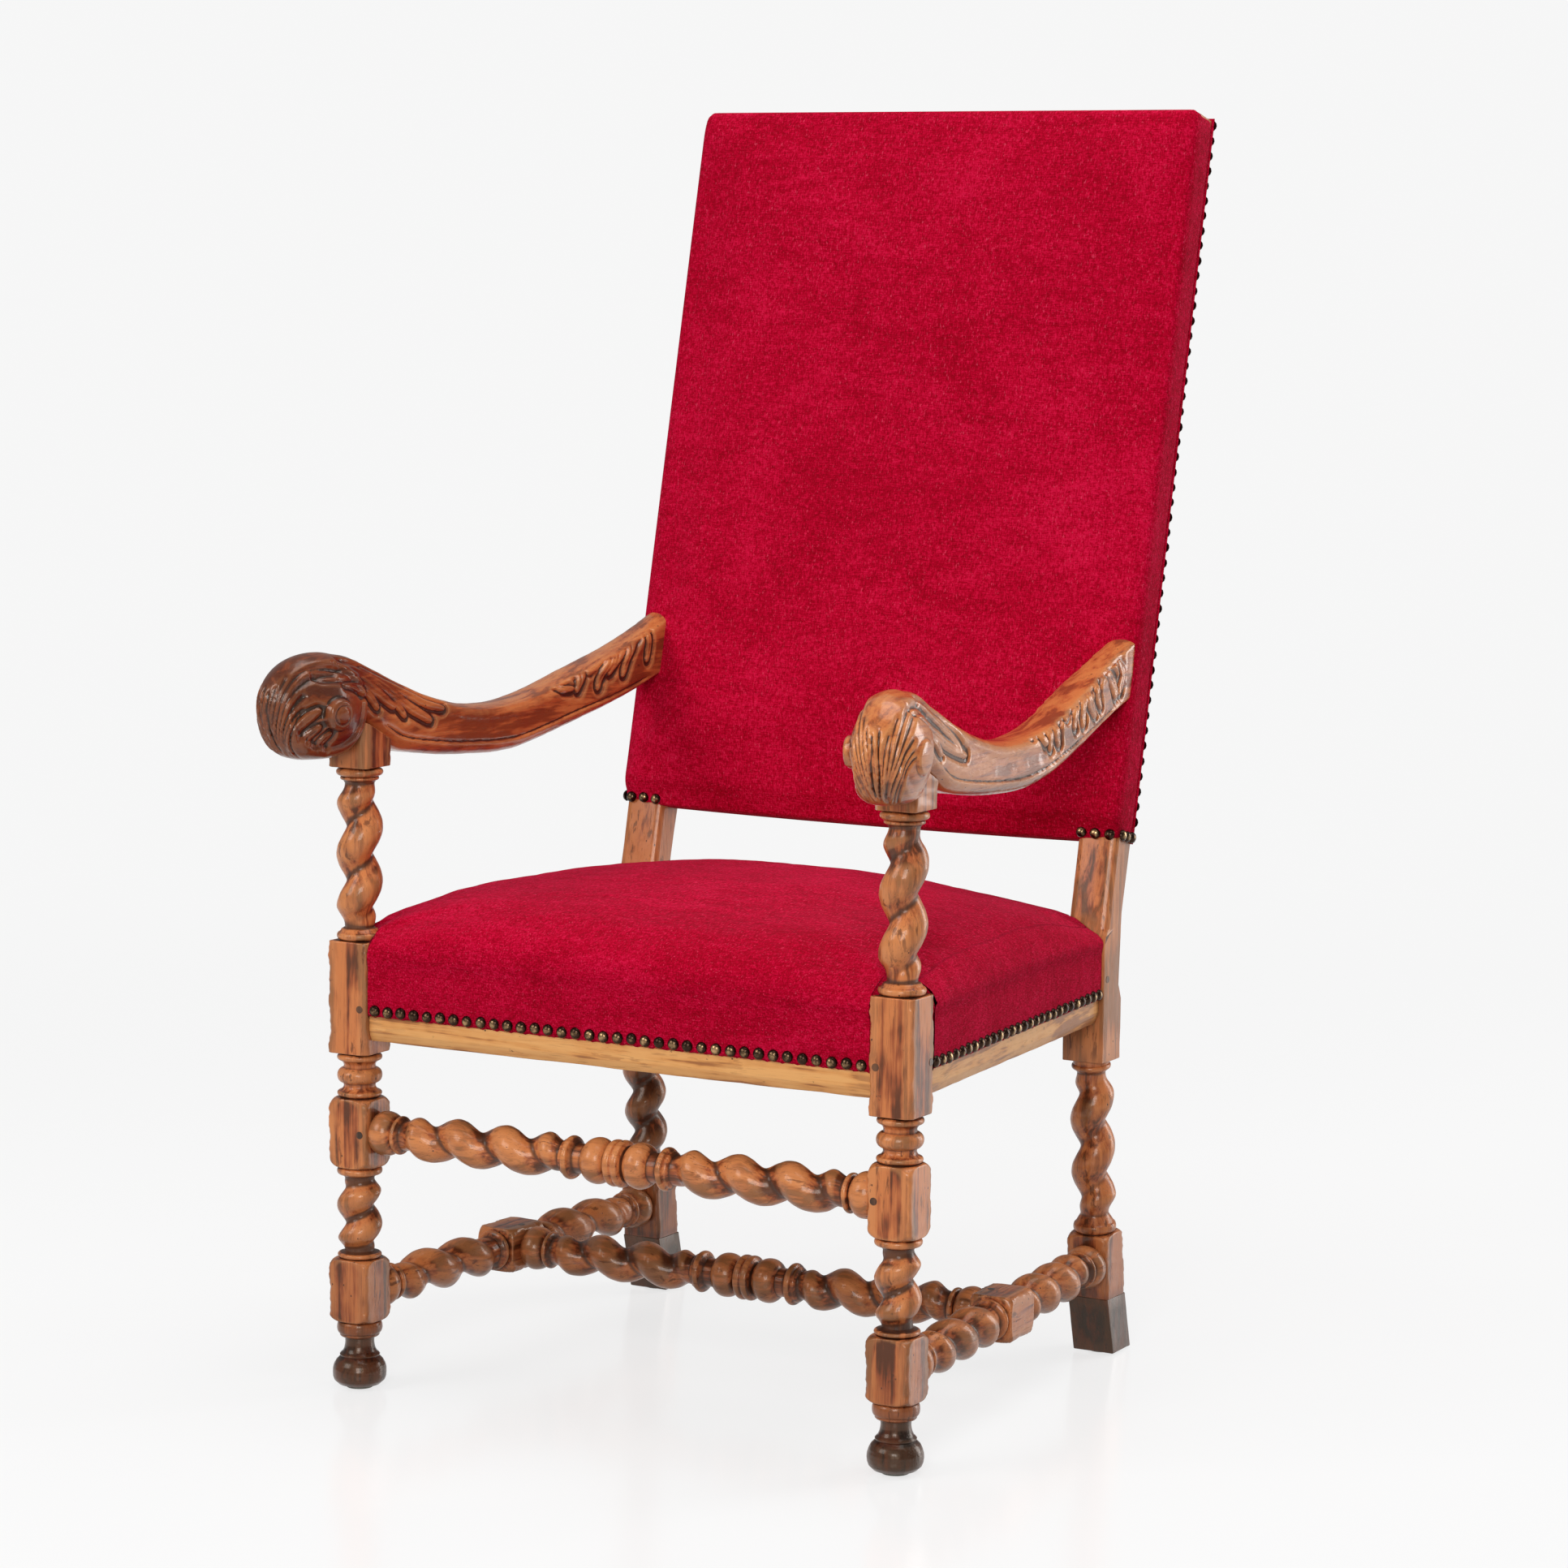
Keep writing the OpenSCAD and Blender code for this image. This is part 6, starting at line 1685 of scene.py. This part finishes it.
@dataclass
class Cloths:
    """Webbing, hessian and the velvet on the outside of the back: everything that is a plain cloth."""

    finishes: Finishes
    seat: Seat

    def strap(self, run: float, crossings: Sequence[tuple[float, int]]) -> Form:
        """One strap along X, woven over and under its neighbours.

        Args:
            run: Half its length.
            crossings: Place of each neighbour, and 1 or -1 for passing over or under it.

        Returns:
            The strap.
        """
        bm = bmesh.new()
        bmesh.ops.create_grid(bm, x_segments=56, y_segments=4, size=1.0)
        for v in bm.verts:
            x = v.co.x * run
            rise = WEB_T * 0.52 * sum(way * float(ease(1.15 - abs(x - at) / 44)) for at, way in crossings)
            v.co = (x, v.co.y * STRAP_W / 2, rise)
        return thickened(bm, WEB_T * 0.8)

    def webbing(self, piece: Piece, lengthwise: Sequence[tuple[float, float]], crosswise: Sequence[tuple[float, float]],
                middle: tuple[float, float], rests: Sequence[str], place: Matrix = Matrix.Identity(4)) -> None:
        """Straps woven in both directions.

        Args:
            piece: What they become.
            lengthwise: Place across and half length of each strap along Y.
            crosswise: Place along and half length of each strap along X.
            middle: Middle along Y of the lengthwise straps, and height of the web's middle.
            rests: What the straps are nailed to; not used.
            place: From the web's own plan to the chair's plan.
        """
        bm = bmesh.new()
        for rows, others, way, start in ((lengthwise, crosswise, 1, middle[0]), (crosswise, lengthwise, -1, 0)):
            for i, (across, run) in enumerate(rows):
                crossings = [(at - start, (1 if (i + j) % 2 else -1) * way) for j, (at, _) in enumerate(others)]
                strap = self.strap(run, crossings)
                place_in = moved(across, *middle) @ turned(QUARTER, "Z") if way > 0 else moved(0, across, middle[1])
                strap.transform(place_in)
                join(bm, strap)
        local = points_of(bm)
        obj = piece.make(bm, place)
        give_attribute(obj.data, "weave", local * MM)
        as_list(rests)

    def flat_cloth(self, piece: Piece, half: Callable[[float], float], span: tuple[float, float], thick: float,
                   depth: Callable[[float, float], float], place: Matrix = Matrix.Identity(4),
                   corner: Sequence[tuple[float, float, float]] = ()) -> None:
        """One stretched cloth in the plane of its own U and V.

        Args:
            piece: What it becomes.
            half: Half the width at a V.
            span: Its lower and its upper end.
            thick: Its thickness.
            depth: Height of the cloth at a U and V.
            place: From its own plane to the chair's plan.
            corner: Least width, and lowest and highest V, of each notch cut for a post.
        """
        v0, v1 = span
        bm = bmesh.new()
        bmesh.ops.create_grid(bm, x_segments=64, y_segments=72, size=1.0)
        for v in bm.verts:
            t = mix(v0, v1, (v.co.y + 1) / 2)
            u = v.co.x * half(t)
            v.co = (u, t, depth(u, t))
        middles = [(f, f.calc_center_median()) for f in bm.faces]
        cut_away = [f for f, m in middles if any(abs(m.x) > u0 and low < m.y < high for u0, low, high in corner)]
        bmesh.ops.delete(bm, geom=cut_away, context="FACES")
        area = sum(f.calc_area() for f in bm.faces)
        thickened(bm, thick)
        local = points_of(bm)
        obj = piece.make(bm, place)
        give_attribute(obj.data, "weave", local * MM)
        wide = 2 * max(half(v0), half(v1))

    def build(self) -> None:
        """Builds every cloth."""
        hessian, webbing = self.finishes.hessian, self.finishes.webbing
        seat_rails, back_rails = ["front_rail", "rear_rail"], ["back_top_rail", "back_bottom_rail"]
        y0, y1 = self.seat.front_y + 3, self.seat.rear_y - 3
        across = [SEAT_MID_Y + (i - 1.5) * WEB_STEP for i in range(4)]
        self.webbing(Piece("seat_jute_webbing", webbing, "jute", ("seat_webbing",), rounds=1),
                     [(i * WEB_STEP, (y1 - y0) / 2) for i in range(-2, 3)], [(y, side_rail_x(y) - 4) for y in across],
                     ((y0 + y1) / 2, RAIL_TOP + WEB_T), seat_rails)
        self.flat_cloth(Piece.of("seat_hessian", "cloth", hessian, "jute", rounds=1),
                        lambda y: float(side_rail_x(y)) - 3, (y0, y1), HESSIAN_T * 0.8,
                        lambda u, v: RAIL_TOP + 2 * WEB_T + HESSIAN_T / 2 + 0.1,
                        corner=((FRONT_HALF - HALF - 0.6, -99, HALF + 0.6),
                                (REAR_HALF - HALF - 0.6, REAR_FRONT - 0.6, 999)))
        # In the plane of the back, U runs along X, V up the back and the depth behind its face.
        upright = lean_matrix() @ turned(QUARTER, "X")
        low, high = BACK_S0 + 20, WOOD_S1 - 8
        wide = REAR_HALF + HALF - 8
        heights = np.arange(BACK_S0 + 150, WOOD_S1 - 110, 110)
        self.webbing(Piece("back_jute_webbing", webbing, "jute", ("back_webbing",), rounds=1),
                     [(x, (high - low) / 2) for x in range(-150, 151, 75)], [(float(v), wide) for v in heights],
                     ((low + high) / 2, WEB_T), back_rails, upright)
        self.flat_cloth(Piece.of("back_hessian", "cloth", hessian, "jute", rounds=1), lambda v: wide + 2,
                        (BACK_S0 + 18, WOOD_S1 - 6), HESSIAN_T * 0.8, lambda u, v: 2 * WEB_T + HESSIAN_T / 2 + 0.1,
                        upright)
        v0, v1 = BACK_S0 + 0.8, BACK_S1 - 0.5

        def dish(u: float, v: float) -> float:
            """The velvet behind the back is drawn in a little between the posts and is slightly uneven."""
            inward = 0.0
            if v0 < v < v1:
                inward = 2.2 * math.cos(u / BACK_HW * QUARTER) ** 0.7 * math.sin((v - v0) / (v1 - v0) * math.pi) ** 0.5
            return -(POST_D + VELVET * 0.62) + inward + 0.3 * noise.noise(Vector((u * 0.02, v * 0.012, 4.0)))

        self.flat_cloth(Piece.of("outside_back", "velvet", self.finishes.velvet, "velvet", rounds=1),
                        lambda v: BACK_HW - 0.6, (v0, v1), 1.5, dish, upright)


def thickened(bm: Form, thick: float) -> Form:
    """Gives a flat cloth its thickness, half to each side."""
    bmesh.ops.recalc_face_normals(bm, faces=bm.faces)
    bmesh.ops.solidify(bm, geom=list(bm.faces), thickness=thick)
    bmesh.ops.recalc_face_normals(bm, faces=bm.faces)
    return bm


# ---- back


@dataclass
class Back:
    """The tall padded back in its velvet cover."""

    finishes: Finishes
    bow: float = 3.0
    # Both ends and the depth of each crease in the velvet.
    creases: tuple = ((-262, 223, -207, 220, 1.6), (-207, 220, -110, 212, 1.2), (108, 208, 168, 203, 1.6),
                      (168, 203, 262, 206, 0.9), (98, 560, 160, 428, 0.5), (160, 428, 228, 325, 0.6),
                      (-240, 770, -262, 560, 0.7), (-228, 560, -262, 300, 0.6))
    rings: tuple = ((180, PAD_CROWN * 0.97, 1, 150, PAD_CROWN * 0.97, 1),
                    (110, PAD_CROWN * 0.8, 1, 100, PAD_CROWN * 0.85, 1),
                    (55, PAD_CROWN * 0.42, 1, 60, PAD_CROWN * 0.5, 1),
                    (20, PAD_CROWN * 0.08, 1, 30, PAD_CROWN * 0.1, 1),
                    (7, 0, 0.84, 18, 0, 0.8), (1, 0, 0.5, 14, VELVET, 0.2), (-1.5, 0, 0.1, 12.6, VELVET + FIT, 0))

    def pad_depth(self, s: Array) -> Array:
        """Depth of the padding at a height in the back's frame."""
        return mix(PAD_EDGE + 4, PAD_EDGE - 3, (s - BACK_S0) / (BACK_S1 - BACK_S0))

    def loop(self, q: Sequence[float]) -> Array:
        """A loop of the back: side inset, fixed depth, share of padding, and the same three for the lower side."""
        side_in, fixed, share, low_in, low_fixed, low_share = q
        corner = max(3.0, 4 + 0.5 * side_in)
        p = rounded_loop(BACK_HW - side_in, BACK_S0 + side_in, BACK_S1 - side_in, corner, LOOP_POINTS)
        low = ease(1 - (p[:, 1] - BACK_S0 - side_in) / corner)
        s = p[:, 1] + (low_in - side_in - self.bow * (1 - (p[:, 0] / BACK_HW) ** 2)) * low
        depth = mix(fixed, low_fixed, low) + mix(share, low_share, low) * self.pad_depth(s)
        return np.stack([p[:, 0], -depth, s], axis=1)

    def held(self, p: Array) -> Array:
        """1 behind the front edge, 0 on the face."""
        return 1 - ease((-p[:, 1] - 2) / 8)

    def shape(self, p: Array, normal: Array) -> Array:
        """Last shape of the cover: soft unevenness, faint creases and frayed rear edges."""
        out = p.copy()
        x, y, s = p.T
        face = ease((-y - 3) / 6)
        coarse, fine = (np.stack([x, s, np.full_like(x, level)], axis=1) for level in (7.0, 3.0))
        out[:, 1] -= 1.3 * (unevenness(coarse, (1, 0.009)) + unevenness(fine, (0.4, 0.027))) * face
        for x0, s0, x1, s1, deep in self.creases:
            run = np.array([x1 - x0, s1 - s0], dtype=float)
            share = np.clip(((x - x0) * run[0] + (s - s0) * run[1]) / (run @ run), 0, 1)
            away = np.hypot(x - x0 - share * run[0], s - s0 - share * run[1])
            out[:, 1] += face * deep * (bell(away / 3.2) - 0.4 * bell(away / 9))
        # The outside back's velvet frays along its rear edges.
        edge = bell((y - POST_D) / 4) * ease((np.abs(x) - BACK_HW + 6) / 3)
        fray = unevenness(np.stack([s * 0.31, y * 0.2, np.copysign(9, x)], axis=1), (1, 1))
        out[:, 0] += np.sign(x) * 1.1 * fray * edge
        return out

    def build(self) -> None:
        """Builds the cover."""
        loops = [self.loop(row) for row in smooth_table(self.rings, 3)]
        loops += [self.loop((0, 0, 0, 0, 1, 0)), self.loop((0, -POST_D / 2, 0, 0, -POST_D / 2, 0)),
                  self.loop((0, -POST_D, 0, 0, -POST_D, 0))]
        bm = lofted(loops, (0, -float(self.pad_depth(np.array(500.0))) - PAD_CROWN, 480), (0, POST_D, 480))
        bm = Cushion(cap=3.0).cover(bm, self.held, self.shape)
        local = points_of(bm)
        obj = Piece("back_velvet", self.finishes.velvet, "velvet", ("back_cover", "back_stuffing"), rounds=2,
                    sharp=180).make(bm, lean_matrix())
        give_attribute(obj.data, "weave", local[:, [0, 2, 1]] * MM)


# ---- nails


@dataclass
class NailRow:
    """A row of domed nails, each a little uneven."""

    node: str
    places: list[Matrix]
    seed: int
    segments: int = 12
    dome: tuple = ((1.0, 0.0), (0.97, 0.22), (0.80, 0.62), (0.45, 0.91), (0, 1))

    def build(self, finishes: Finishes) -> None:
        """Builds all nails of the row as one piece.

        Args:
            finishes: The shared materials.
        """
        rng = np.random.default_rng(self.seed)
        single = mesh_from(spun([(NAIL_D / 2 * r, 0, NAIL_H * h) for r, h in self.dome], self.segments, True), "dome")
        bm = bmesh.new()
        relief: list[float] = []
        heights = np.array([v.co.z for v in single.vertices]) / NAIL_H
        for place in self.places:
            first = len(bm.verts)
            bm.from_mesh(single)
            bm.verts.ensure_lookup_table()
            tilt = turned(rng.normal(0, 0.07), "X") @ turned(rng.normal(0, 0.07), "Y")
            shift = moved(rng.normal(0, 0.28), rng.normal(0, 0.28), -0.15)
            size = Matrix.Scale(float(np.clip(rng.normal(1.0, 0.018), 0.95, 1.03)), 4)
            bmesh.ops.transform(bm, matrix=place @ shift @ tilt @ size, verts=bm.verts[first:])
            # Height on each dome with a little noise; it sets where the brass is rubbed bright and painted with a
            # highlight.
            relief += list(heights * 0.8 + rng.normal(0, 0.11))
        bpy.data.meshes.remove(single)
        name = self.node.replace("nails", "nail_row")
        obj = Piece(name, finishes.brass, "nail_brass", (self.node,), sharp=50, rounds=1).make(bm)
        write(obj.data.attributes["relief"].data, "value", relief)


def spaced(low: float, high: float, count: int) -> list[float]:
    """Evenly spaced numbers from low to high."""
    return [mix(low, high, i / (count - 1)) for i in range(count)]


@dataclass
class Nails:
    """All rows of nails."""

    finishes: Finishes
    front_count: int = 36
    side_count: int = 28

    def row(self, node: str, seed: int, places: list[Matrix]) -> None:
        """Builds one row."""
        NailRow(node, places, seed).build(self.finishes)

    def build(self) -> None:
        """Builds the rows on the seat rails and on the back."""
        z, out = VELVET_LOW + 7, FIT + VELVET + 0.02
        ahead, behind = turned(QUARTER, "X"), turned(-QUARTER, "X")
        reach, rear, wide = FRONT_HALF - HALF - 8, REAR_HALF - HALF - 9, REAR_HALF + HALF - 15
        self.row("seat_front_nails", 11, [moved(x, -HALF + RAIL_INSET - out, z) @ ahead
                                          for x in spaced(-reach, reach, self.front_count)])
        angle = math.atan((FRONT_HALF - REAR_HALF) / (REAR_FRONT - HALF))
        for side in Side:
            way = side.value
            self.row("seat_side_nails_" + side.word, 20 + way, [
                moved(way * side_rail_x(y), y, z) @ turned(way * angle, "Z") @ moved(way * out, 0, 0)
                @ turned(way * QUARTER, "Y") for y in spaced(HALF + 8, REAR_FRONT - 8, self.side_count)])
        self.row("seat_rear_nails", 13, [moved(x, REAR_BACK - RAIL_INSET + out, z) @ behind
                                         for x in spaced(-rear, rear, self.front_count - 6)])
        lean = lean_matrix()
        lower = []
        for side in Side:
            way = side.value
            for i in range(3):
                x = way * (REAR_HALF - HALF + 6 + NAIL_STEP * i)
                lower.append(lean @ moved(x, -out - 0.1, BACK_S0 + 5.7) @ ahead)
                lower.append(lean @ moved(way * (BACK_HW + 0.05), 6.2 + 10.6 * i, BACK_S0 + 6.4)
                             @ turned(way * QUARTER, "Y"))
        self.row("back_lower_nails", 14, lower)
        face = POST_D + VELVET + 0.05
        run = BACK_S1 - BACK_S0 - 14
        steps = int(run // NAIL_STEP)
        for side in Side:
            x = side.value * (REAR_HALF + HALF - 1.6)
            self.row("outside_back_nails_" + side.word, 30 + side.value, [
                lean @ moved(x, face, BACK_S0 + 7 + run * i / steps) @ behind for i in range(steps + 1)])
        self.row("outside_back_nails_ends", 33, [
            lean @ moved(x, face, s) @ behind for x in spaced(-wide, wide, int(2 * wide // NAIL_STEP) + 1)
            for s in (BACK_S0 + 7, BACK_S1 - 6)])


@dataclass
class KeptParts:
    """The solids whose shape is right as it is; they only get their finish."""

    finishes: Finishes

    def build(self) -> None:
        """Puts a finish on each of them."""
        plain = self.finishes.plain
        for node, material in (("joint_pegs", self.finishes.peg), ("foot_pads", self.finishes.pad),
                               ("back_top_rail", plain), ("back_bottom_rail", plain)):
            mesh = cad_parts[node].data
            mesh.materials.clear()
            mesh.materials.append(material)
            log.info("%s: new finish", node)


# ---- studio


@dataclass
class Studio:
    """White floor and backdrop, soft lamps and the camera of the photograph."""

    eye: tuple[float, float, float] = (1979.8, -3276.4, 1039.2)
    yaw: float = 29.02
    pitch: float = -6.81
    roll: float = 0.66
    focal_px: float = 5394.0
    frame_px: float = 1932.0
    floor_glow: float = 0.77

    def camera(self) -> None:
        """Places the camera."""
        yaw, pitch, roll = (math.radians(a) for a in (self.yaw, self.pitch, self.roll))
        forward = Vector((-math.sin(yaw) * math.cos(pitch), math.cos(yaw) * math.cos(pitch), math.sin(pitch)))
        right = forward.cross(Vector((0, 0, 1))).normalized()
        up = right.cross(forward)
        r = right * math.cos(roll) + up * math.sin(roll)
        u = up * math.cos(roll) - right * math.sin(roll)
        turn = Matrix((r, u, -forward)).transposed()
        data = bpy.data.cameras.new("camera")
        data.sensor_width = 36.0
        data.lens = 36.0 * self.focal_px / self.frame_px
        data.clip_start, data.clip_end = 0.1, 60.0
        cam = placed("camera", data)
        x, y, z = self.eye
        cam.matrix_world = Matrix.Translation(Vector((x, y + PLAN_SHIFT, z)) * MM) @ turn.to_4x4()
        bpy.context.scene.camera = cam

    def lamp(self, name: str, place: Sequence[float], aim: Sequence[float], size: tuple[float, float],
             power: float) -> None:
        """Adds one soft box.

        Args:
            name: Its name.
            place: Its position in metres.
            aim: The point it faces.
            size: Width and height in metres.
            power: Watts.
        """
        data = bpy.data.lights.new(name, "AREA")
        data.shape = "RECTANGLE"
        data.size, data.size_y = size
        data.energy = power
        lamp = placed(name, data)
        lamp.location = place
        lamp.rotation_euler = (Vector(aim) - Vector(place)).to_track_quat("-Z", "Y").to_euler()

    def world(self) -> None:
        """Even studio light; the camera sees a paper white."""
        world = bpy.data.worlds.new("studio")
        bpy.context.scene.world = world
        world.use_nodes = True
        tree = world.node_tree
        tree.nodes.clear()
        out, light, seen, path, both = (tree.nodes.new("ShaderNode" + kind) for kind in (
            "OutputWorld", "Background", "Background", "LightPath", "MixShader"))
        light.inputs[0].default_value = (1.0, 1.0, 1.0, 1.0)
        light.inputs[1].default_value = 0.27
        seen.inputs[0].default_value = PAPER_WHITE
        for source, target in ((path.outputs["Is Camera Ray"], both.inputs[0]), (light.outputs[0], both.inputs[1]),
                               (seen.outputs[0], both.inputs[2]), (both.outputs[0], out.inputs[0])):
            tree.links.new(source, target)

    def floor(self) -> None:
        """A wide pale floor that keeps the shadow of the chair."""
        bm = bmesh.new()
        bmesh.ops.create_grid(bm, x_segments=8, y_segments=8, size=14.0)
        mesh = mesh_from(bm, "floor")
        floor = placed("floor", mesh)
        n = Nodes("pale_floor")
        n.fill(n.shader, {"Base Color": (0.25, 0.25, 0.25, 1), "Roughness": 0.17, "Specular IOR Level": 0.36})
        far = n.spread(n.make("VectorMath", {0: n.position()}, "Value", operation="LENGTH"), 0.9, 3.4)
        ray = n.add("LightPath").outputs
        seen = n.plus(ray["Is Camera Ray"], n.plus(ray["Is Glossy Ray"], ray["Is Transmission Ray"]), clamp=True)
        glow = n.make("Emission", {"Color": PAPER_WHITE, "Strength": n.times(seen, self.floor_glow)})
        near = n.make("AddShader", {0: n.shader.outputs[0], 1: glow})
        backdrop = n.make("Emission", {"Color": PAPER_WHITE, "Strength": seen})
        n.link(n.make("MixShader", {0: far, 1: near, 2: backdrop}), n.out.inputs["Surface"])
        mesh.materials.append(n.material)

    def build(self) -> None:
        """Builds the studio."""
        scene = bpy.context.scene
        scene.view_settings.view_transform = "Standard"
        self.camera()
        self.world()
        self.floor()
        aim = (0, 0, 0.6)
        self.lamp("key_box", (-2.0, -2.9, 2.3), aim, (1.7, 1.7), 46)
        self.lamp("fill_box", (1.5, -3.5, 1.7), aim, (1.4, 1.6), 66)
        self.lamp("top_box", (0.6, 0.2, 3.6), (0, 0, 0.5), (2.4, 2.4), 46)
        self.lamp("side_box", (2.5, 3.1, 1.3), (0.2, 0, 0.7), (1.5, 2.4), 60)


def main() -> None:
    """Builds the chair and its studio and reports each piece."""
    logging.basicConfig(level=logging.INFO, format="%(message)s")
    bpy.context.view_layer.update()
    finishes = Finishes()
    Studio().build()
    for side in Side:
        FrontPost(finishes, side).build()
        RearPost(finishes, side).build()
        Arm(finishes, side).build()
    Stretchers(finishes).build()
    SeatRails(finishes).build()
    seat = Seat(finishes)
    seat.build()
    Cloths(finishes, seat).build()
    Back(finishes).build()
    Nails(finishes).build()
    KeptParts(finishes).build()


if __name__ == "__main__":
    main()
